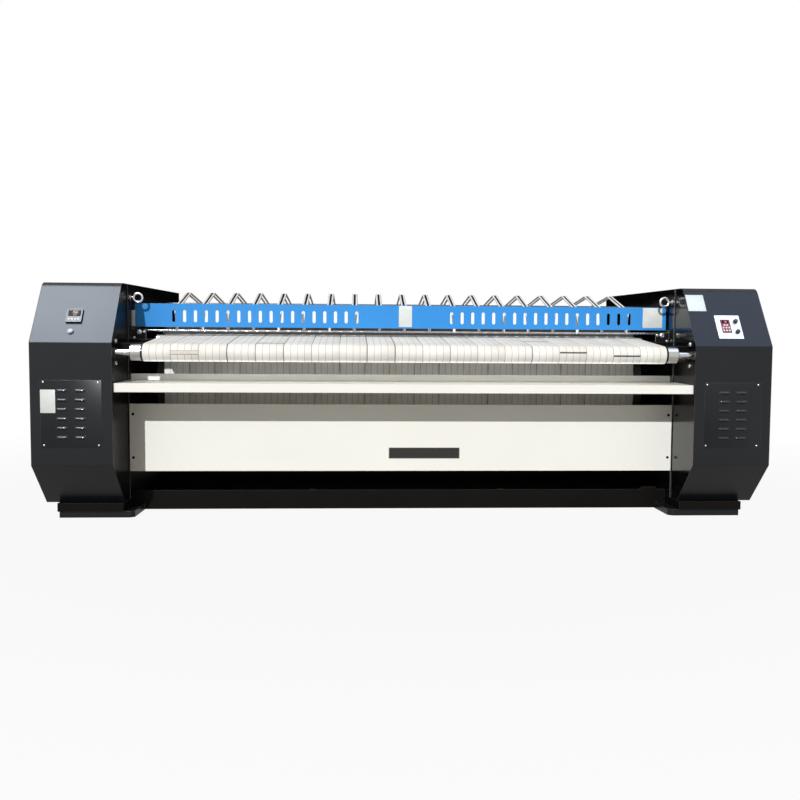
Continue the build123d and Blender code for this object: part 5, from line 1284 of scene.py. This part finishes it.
@dataclass
class GuideWires:
    """The bent wires that keep the linen on the drum, and the two cross rods that hold them.

    A near-black strip of painted shade fills the gap between the two wires of a pair on their near
    slope. A wire leaves the front rod upwards, bends back to a low peak, and falls to the rear rod.

    Attributes:
        bends: Depth and height of the wire's ends and corners.
        corner: Radius of the bends.
        steps: Points of each bend's arc.
        wire_radius: Radius of a wire.
        rod_radius: Radius of a rod.
        apart: Distance of each wire of a pair from their middle.
        gathered: Share of that distance at the front rod, where the two come together.
        shift: Distance of that middle to the right of the belt's middle.
        belts: Number of belts, each with its pair of wires.
        pitch: Distance from one pair to the next.
    """

    bends: Pairs = ((590.0, 1100.0), (600.0, 1244.0), (970.0, 1356.0), (1400.0, 1309.0))
    corner: float = 24.0
    steps: int = 7
    wire_radius: float = 6.5
    rod_radius: float = 6.0
    apart: float = 12.0
    gathered: float = 0.1
    shift: float = 8.0
    belts: int = 19
    pitch: float = 157.8947

    def line(self) -> Array:
        """Lay points along one wire, with each corner rounded by an arc.

        At a corner, the arc starts at a distance before it of the radius times the tangent of
        half the turn, and its middle stands on the inner side of the bend.

        Returns:
            Depth and height of each point.
        """
        bends = np.array(self.bends)
        points = [bends[:1]]
        for before, here, after in zip(bends[:-2], bends[1:-1], bends[2:]):
            into, out = here - before, after - here
            into, out = into / np.linalg.norm(into), out / np.linalg.norm(out)
            turn = math.atan2(into[0] * out[1] - into[1] * out[0], float(into @ out))
            inward = np.sign(turn) * np.array([-into[1], into[0]])
            start = here - into * self.corner * math.tan(abs(turn) / 2)
            middle = start + inward * self.corner
            angles = np.linspace(0.0, turn, self.steps)
            spoke = start - middle
            across = np.array([-spoke[1], spoke[0]])
            points.append(middle + np.cos(angles)[:, None] * spoke + np.sin(angles)[:, None] * across)
        points.append(bends[-1:])
        return np.concatenate(points)

    def wire(self, side: float) -> Shape:
        """Return one wire of the middle pair: -1 is the left one, and 1 the right one."""
        line = self.line()
        offset = np.full((len(line), 1), side * self.apart)
        offset[0] *= self.gathered
        return self.tube(line, offset, self.wire_radius)

    def tube(self, line: Array, offset: Array, radius: float) -> Shape:
        """Carry a ten-sided ring along a line: X and the line's own normal span the ring.

        Args:
            line: Depth and height of each point.
            offset: X of each point, as a column.
            radius: Radius of the ring.

        Returns:
            The closed tube.
        """
        along = np.gradient(line, axis=0)
        along /= np.linalg.norm(along, axis=1, keepdims=True)
        turn = np.linspace(0.0, 2 * np.pi, 10, endpoint=False)
        x = offset + radius * np.cos(turn)[None, :]
        lift = radius * np.sin(turn)[None, :]
        depth = line[:, 0:1] - along[:, 1:2] * lift
        height = line[:, 1:2] + along[:, 0:1] * lift
        faces = list(ring_faces(len(line), len(turn), loop=False))
        faces += [np.arange(len(turn)), np.arange(len(turn))[::-1] + (len(line) - 1) * len(turn)]
        return Shape(np.stack([x, depth, height], axis=-1).reshape(-1, 3), faces)

    def build(self) -> None:
        """Build the wires and the rods as one piece."""
        pair = [self.wire(side) for side in (-1.0, 1.0)]
        # The near slope runs from the first bend's last point to the second bend's first point.
        near = self.line()[self.steps : self.steps + 2]
        # A near-black tube between the two wires of each pair: painted shade.
        strip = self.tube(near, np.zeros((len(near), 1)), self.apart - self.wire_radius)
        middles = (np.arange(self.belts) - (self.belts - 1) / 2) * self.pitch + self.shift
        rod = turned(self.rod_radius, ((self.rod_radius, 0.0), (self.rod_radius, 2 * PLATE_X)), steps=5)
        front, rear = (rod.placed(Facing.RIGHT.at(-PLATE_X, *self.bends[end])) for end in (0, -1))
        parts = {
            Finishes.WIRE_SLEEVE: [tube.moved(x) for x in middles for tube in pair],
            Finishes.DARK_PARTS_AND_PAINTED_SHADE: [strip.moved(x) for x in middles],
            Finishes.DRAWN_WIRE: [front],
            Finishes.CHAIN_STEEL: [rear],
        }
        piece("guide_wire_rack", parts, "guide_wires wire_rods", smooth=50.0)


# The segments that each digit lights: top, upper left and right, middle, lower left and right, bottom.
SEGMENTS = (
    "1110111", "0010010", "1011101", "1011011", "0111010",
    "1101011", "1101111", "1010010", "1111111", "1111011",
)


@dataclass
class Controls:
    """The instruments on the two sloping faces.

    Attributes:
        controller: X and distance up the slope of the temperature controller's middle.
        keypad: The same for the maroon keypad.
        knob: The same for the speed knob.
        button: The same for the stop button.
        controller_face: Height of the controller's front above the slope.
        keypad_face: The same for the keypad's film.
    """

    controller: tuple[float, float] = (-1878.0, 175.0)
    keypad: tuple[float, float] = (1853.5, 137.5)
    knob: tuple[float, float] = (1915.0, 170.0)
    button: tuple[float, float] = (1915.0, 99.0)
    controller_face: float = 10.0
    keypad_face: float = 4.0

    def digit(self, value: int, height: float) -> list[Shape]:
        """Lay the lit bars of one seven-segment digit about its middle.

        Args:
            value: The digit.
            height: Its height.

        Returns:
            A thin bar for each lit segment.
        """
        half, side = height / 2, height / 4
        long, thick = height * 0.42, height * 0.13
        bars = (
            (0.0, half, 0), (-side, side, 1), (side, side, 1), (0.0, 0.0, 0),
            (-side, -side, 1), (side, -side, 1), (0.0, -half, 0),
        )
        shapes = []
        for lit, (x, y, upright) in zip(SEGMENTS[value], bars):
            if lit == "1":
                size = (thick, long) if upright else (long, thick)
                bar = stacked(*size, thick * 0.3, ((0.0, 0.0), (0.0, 0.25)), steps=2)
                shapes.append(bar.moved(x, y))
        return shapes

    def number(self, digits: tuple[int, ...], height: float, at: Frame) -> list[Shape]:
        """Set digits in a row about a frame's middle."""
        pitch = height * 0.8
        start = -pitch * (len(digits) - 1) / 2
        return [
            bar.moved(start + i * pitch).placed(at)
            for i, value in enumerate(digits)
            for bar in self.digit(value, height)
        ]

    def build_controller(self) -> None:
        """Build the controller's window, its two readings and its four keys."""
        x, up = self.controller
        face, glass = self.controller_face, 0.8
        window = plate(70.0, 40.0, glass, 2.0).placed(on_slope(x, up + 14.0, face))
        key = stacked(12.0, 8.0, 2.0, ((0.0, 0.0), (0.0, 0.8), (0.6, 1.3), (1.6, 1.5)), steps=3)
        keys = [key.placed(on_slope(x + shift, up - 26.0, face)) for shift in (-25.5, -8.5, 8.5, 25.5)]
        upper = self.number((1, 5, 0), 15.0, on_slope(x, up + 22.0, face + glass))
        lower = self.number((1, 6, 0), 11.0, on_slope(x, up + 4.0, face + glass))
        parts = {
            Finishes.SMOKED: [window],
            Finishes.KEY_WHITE: keys,
            Finishes.PALE_SEGMENT: upper,
            Finishes.AMBER_SEGMENT: lower,
        }
        piece("controller_face", parts)

    def build_keypad(self) -> None:
        """Build the keypad's display and its three rows of keys."""
        x, up = self.keypad
        face, glass = self.keypad_face, 0.5
        window = plate(40.0, 20.0, glass, 2.0, edge=0.2).placed(on_slope(x, up + 30.0, face))
        reading = self.number((1, 2), 12.0, on_slope(x, up + 30.0, face + glass))
        key = stacked(11.0, 11.0, 3.0, ((0.0, 0.0), (0.0, 0.5), (0.5, 0.9), (2.0, 1.0)), steps=3)
        rows = ((8.0, (-8.0, 8.0)), (-10.0, (-17.0, 0.0, 17.0)), (-29.0, (-17.0, 0.0, 17.0)))
        places = [(x + shift, up + rise) for rise, shifts in rows for shift in shifts]
        keys = [key.placed(on_slope(*place, face)) for place in places]
        parts = {Finishes.SMOKED: [window], Finishes.KEY_WHITE: keys, Finishes.SEGMENT: reading}
        piece("keypad_keys", parts)

    def build_knob(self) -> None:
        """Turn the speed knob: a skirt, a fluted grip, a cap and a pale pointer."""
        frame = on_slope(*self.knob)
        rows = (
            (11.0, -25.0), (11.0, 3.5), (0.0, 3.5), (0.0, 6.0), (1.6, 7.0), (2.6, 9.0),
            (2.9, 17.5), (3.6, 19.6), (5.0, 20.5), (12.0, 20.2),
        )
        body = stacked(28.0, 28.0, 14.0, rows, steps=19, flutes=12, flute_depth=0.07)
        pointer = stacked(1.8, 9.0, 0.6, ((0.0, 19.0), (0.0, 20.9)), steps=2).moved(0.0, 6.0)
        parts = {Finishes.BLACK_ABS: [body.placed(frame)], Finishes.KEY_WHITE: [pointer.placed(frame)]}
        piece("speed_knob_grip", parts, "speed_knob", "speed_knob", smooth=30.0)

    def build_button(self) -> None:
        """Turn the stop button: a stem and a mushroom cap with a rolled edge."""
        rows = (
            (5.0, -25.0), (5.0, 7.5), (1.2, 7.6), (0.2, 8.6), (0.0, 10.5), (0.6, 13.0), (2.2, 15.4),
            (5.0, 17.4), (8.5, 18.3), (11.5, 18.5),
        )
        cap = stacked(26.0, 26.0, 13.0, rows, steps=10).placed(on_slope(*self.button))
        piece("stop_button_cap", {Finishes.BLACK_ABS: [cap]}, "stop_button", "stop_button")

    def build(self) -> None:
        """Build every instrument."""
        self.build_controller()
        self.build_keypad()
        self.build_knob()
        self.build_button()


@dataclass
class LabelPlaces:
    """The plates that carry print on the real machine, all left bare.

    Attributes:
        thickness: Thickness of a vinyl plate.
        slope_size: Width, height and thickness of the plate on the right slope.
        slope_place: X and distance up the slope of its middle.
        panel: Width and height of the left panel's plate, and X, depth and height of its middle.
        guard: The same for each plate of the guard.
    """

    thickness: float = 0.6
    slope_size: Triple = (107.0, 117.0, 1.2)
    slope_place: tuple[float, float] = (1707.5, 304.0)
    panel: tuple[float, ...] = (82.0, 130.0, -2002.0, -2.0, 693.0)
    guard: tuple[tuple[float, ...], ...] = (
        (81.0, 129.0, 6.5, 465.0, 1193.5), (124.0, 124.0, 1555.0, 465.0, 1196.0),
    )

    def vinyl(self, width: float, height: float, *middle: float) -> Shape:
        """Return a thin plate that faces the front, about its middle's X, depth and height."""
        return plate(width, height, self.thickness, 3.0, edge=0.2).placed(Facing.FRONT.at(*middle))

    def build(self) -> None:
        """Build the bare plates on the right slope, the left panel and the guard."""
        slope = plate(*self.slope_size, 2.0).placed(on_slope(*self.slope_place))
        guard = [self.vinyl(*each) for each in self.guard]
        piece("slope_plate", {Finishes.PALE_PLATE: [slope]})
        piece("panel_label", {Finishes.WHITE_VINYL: [self.vinyl(*self.panel)]})
        piece("guard_labels", {Finishes.WHITE_VINYL: guard}, body="guard")


# ---- Studio ------------------------------------------------------------------------------------


@dataclass
class Studio:
    """Floor, light, background and camera.

    Attributes:
        camera_place: The camera in metres, in Blender's axes.
        yaw: Turn of the view to the right in degrees.
        pitch: Tilt down.
        roll: Turn about the view.
        lens: Focal length for the 36 mm sensor: 850 pixels of an 800-pixel picture.
        sun_travel: Direction in which the sunlight travels.
        sun_strength: Strength of the sun.
        sky_strength: Strength of the sky's light on a matt surface.
        floor_colour: Colour of the floor.
        floor_fade: Distances in metres between which the floor turns white.
        floor_near: How far the camera sees the floor near the machine as white, from 0 to 1.
        floor_gloss: The same for a reflection.
        bounce_power: Watts of the strip that stands for the light off the shelf.
        bounce_size: Width and height of that strip in metres.
        bounce_place: The strip's middle in metres.
        bounce_travel: Direction in which its light travels.
        softboxes: Name, watts and colour of each slope's lamp, its direction and the slope's middle.
    """

    camera_place: Triple = (-0.2817, -5.6928, 0.9995)
    yaw: float = 2.806
    pitch: float = 3.500
    roll: float = -0.3435
    lens: float = 38.25
    sun_travel: Triple = (0.26, 1.0, -0.576)
    sun_strength: float = 2.75
    sky_strength: float = 0.40
    floor_colour: str = "#9A9792"
    floor_fade: tuple[float, float] = (2.6, 6.0)
    floor_near: float = 0.92
    floor_gloss: float = 0.45
    bounce_power: float = 1.2
    bounce_size: tuple[float, float] = (3.0, 0.06)
    bounce_place: Triple = (0.0, -0.87, 0.875)
    bounce_travel: Triple = (0.0, 0.94, 0.34)
    softboxes: tuple[tuple[str, float, str, Triple, Triple], ...] = (
        ("left_slope_softbox", 480.0, "#DDE8F5", (-0.31, -0.33, 0.89), (-1.875, -0.79, 1.19)),
        ("right_slope_softbox", 60.0, "#A9C9FF", (0.40, -0.33, 0.86), (1.875, -0.79, 1.19)),
    )

    def build_camera(self) -> None:
        """Set the camera where the photograph was taken from."""
        yaw, pitch, roll = (math.radians(angle) for angle in (self.yaw, self.pitch, self.roll))
        ahead = Vector((math.sin(yaw) * math.cos(pitch), math.cos(yaw) * math.cos(pitch), -math.sin(pitch)))
        right = Vector((math.cos(yaw), -math.sin(yaw), 0.0))
        up = right.cross(ahead)
        x = math.cos(roll) * right - math.sin(roll) * up
        y = math.sin(roll) * right + math.cos(roll) * up
        data = bpy.data.cameras.new("photograph_view")
        data.lens, data.sensor_width, data.clip_end = self.lens, 36.0, 200.0
        camera = bpy.data.objects.new("photograph_view", data)
        place = Matrix((x, y, -ahead)).transposed().to_4x4()
        place.translation = self.camera_place
        camera.matrix_world = place
        bpy.context.scene.collection.objects.link(camera)
        bpy.context.scene.camera = camera

    def hung(self, name: str, lamp: bpy.types.Light, travel: Vector) -> bpy.types.Object:
        """Hang a lamp that shines along a direction, and return it."""
        made = bpy.data.objects.new(name, lamp)
        made.rotation_mode = "QUATERNION"
        made.rotation_quaternion = travel.to_track_quat("-Z", "Y")
        bpy.context.scene.collection.objects.link(made)
        return made

    def build_lights(self) -> None:
        """Hang the sun, a cool soft lamp for each slope, and a low strip of light off the shelf."""
        sun = bpy.data.lights.new("sun", "SUN")
        sun.energy, sun.angle = self.sun_strength, math.radians(0.6)
        self.hung("sun", sun, Vector(self.sun_travel))
        for name, power, colour, direction, slope in self.softboxes:
            soft = bpy.data.lights.new(name, "AREA")
            soft.shape, soft.size, soft.energy, soft.color = "DISK", 3.0, power, linear(colour)[:3]
            towards = Vector(direction).normalized()
            box = self.hung(name, soft, -towards)
            box.location = Vector(slope) + towards * 5.0
            box.visible_diffuse = False
        bounce = bpy.data.lights.new("shelf_bounce", "AREA")
        bounce.shape, bounce.energy = "RECTANGLE", self.bounce_power
        bounce.size, bounce.size_y = self.bounce_size
        strip = self.hung("shelf_bounce", bounce, Vector(self.bounce_travel))
        strip.location = self.bounce_place
        strip.visible_glossy = False

    def build_sky(self) -> None:
        """Light the scene with a plain sky that the eye and the metal see as white."""
        world = bpy.data.worlds.new("plain_sky")
        bpy.context.scene.world = world
        add = started(world)
        rays = add("LightPath").outputs
        seen = rays["Is Camera Ray"]
        for kind in ("Is Glossy Ray", "Is Transmission Ray"):
            seen = add("Math", {0: seen, 1: rays[kind]}, operation="MAXIMUM")
        light = add("Background", {"Color": "#FFF9F0", "Strength": self.sky_strength})
        white = add("Background", {"Color": "#FFFFFF", "Strength": 1.0})
        add("OutputWorld", {"Surface": add("MixShader", {0: seen, 1: light, 2: white})})

    def screen(self, name: str, finish: str, points: Array) -> tuple[bpy.types.Object, Adder]:
        """Add a four-cornered sheet that belongs to the studio.

        Args:
            name: Name of the sheet.
            finish: Name of its material.
            points: Its four corners in metres.

        Returns:
            The sheet, and what adds the nodes of its material.
        """
        mesh = bpy.data.meshes.new(name)
        mesh.from_pydata(points.tolist(), [], [(0, 1, 2, 3)])
        material = bpy.data.materials.new(finish)
        mesh.materials.append(material)
        made = bpy.data.objects.new(name, mesh)
        bpy.context.scene.collection.objects.link(made)
        return made, started(material)

    def build_floor(self) -> None:
        """Lay a pale floor that keeps a soft shadow and is otherwise as white as the sky."""
        half, low = 30.0, -0.001
        points = [(-half, -half, low), (half, -half, low), (half, half, low), (-half, half, low)]
        add = self.screen("studio_floor", "pale_studio_floor", np.array(points))[1]
        rays = add("LightPath").outputs
        away = add("VectorMath", {0: add("TexCoord").outputs["Object"]}, operation="LENGTH")
        fading = dict(zip(("From Min", "From Max"), self.floor_fade))
        shares = []
        for kind, near in (("Is Camera Ray", self.floor_near), ("Is Glossy Ray", self.floor_gloss)):
            fade = add("MapRange", {"Value": away, **fading, "To Min": near, "To Max": 1.0})
            shares.append(add("Math", {0: rays[kind], 1: fade}, operation="MULTIPLY"))
        share = add("Math", {0: shares[0], 1: shares[1]}, operation="MAXIMUM")
        matt = add("BsdfDiffuse", {"Color": self.floor_colour})
        white = add("Emission", {"Color": "#FFFFFF", "Strength": 1.0})
        add("OutputMaterial", {"Surface": add("MixShader", {0: share, 1: matt, 2: white})})

    def build_card(self) -> None:
        """Hang a black card behind the machine, which only gloss and metal in front of it see.

        Its rear lets everything through, so that a view from behind isn't darkened by it.
        """
        low, high, half, depth = 0.2, 4.5, 7.0, 2.4
        points = [(-half, depth, low), (half, depth, low), (half, depth, high), (-half, depth, high)]
        card, add = self.screen("black_card", "black_card_felt", np.array(points))
        card.visible_camera = card.visible_diffuse = card.visible_transmission = card.visible_shadow = False
        behind = add("NewGeometry").outputs["Backfacing"]
        felt, clear = add("BsdfDiffuse", {"Color": "#050505"}), add("BsdfTransparent")
        add("OutputMaterial", {"Surface": add("MixShader", {0: behind, 1: felt, 2: clear})})

    def build(self) -> None:
        """Build the whole studio."""
        bpy.context.scene.view_settings.view_transform = "Standard"
        self.build_camera()
        self.build_lights()
        self.build_sky()
        self.build_floor()
        self.build_card()


# ---- The whole machine -------------------------------------------------------------------------


def build_ironer() -> None:
    """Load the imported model, dress it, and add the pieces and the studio."""
    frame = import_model()
    Studio().build()
    chassis = Chassis(frame["nodes"])
    chassis.dress()
    belts = BeltRun()
    belts.build()
    Lacings(belts).build()
    Controls().build()
    chassis.build_screws()
    chassis.build_bolts()
    chassis.build_panels()
    GuideWires().build()
    chassis.build_clips()
    LabelPlaces().build()


if __name__ == "__main__":
    logging.basicConfig(level=logging.INFO, format="%(name)s: %(message)s")
    build_ironer()
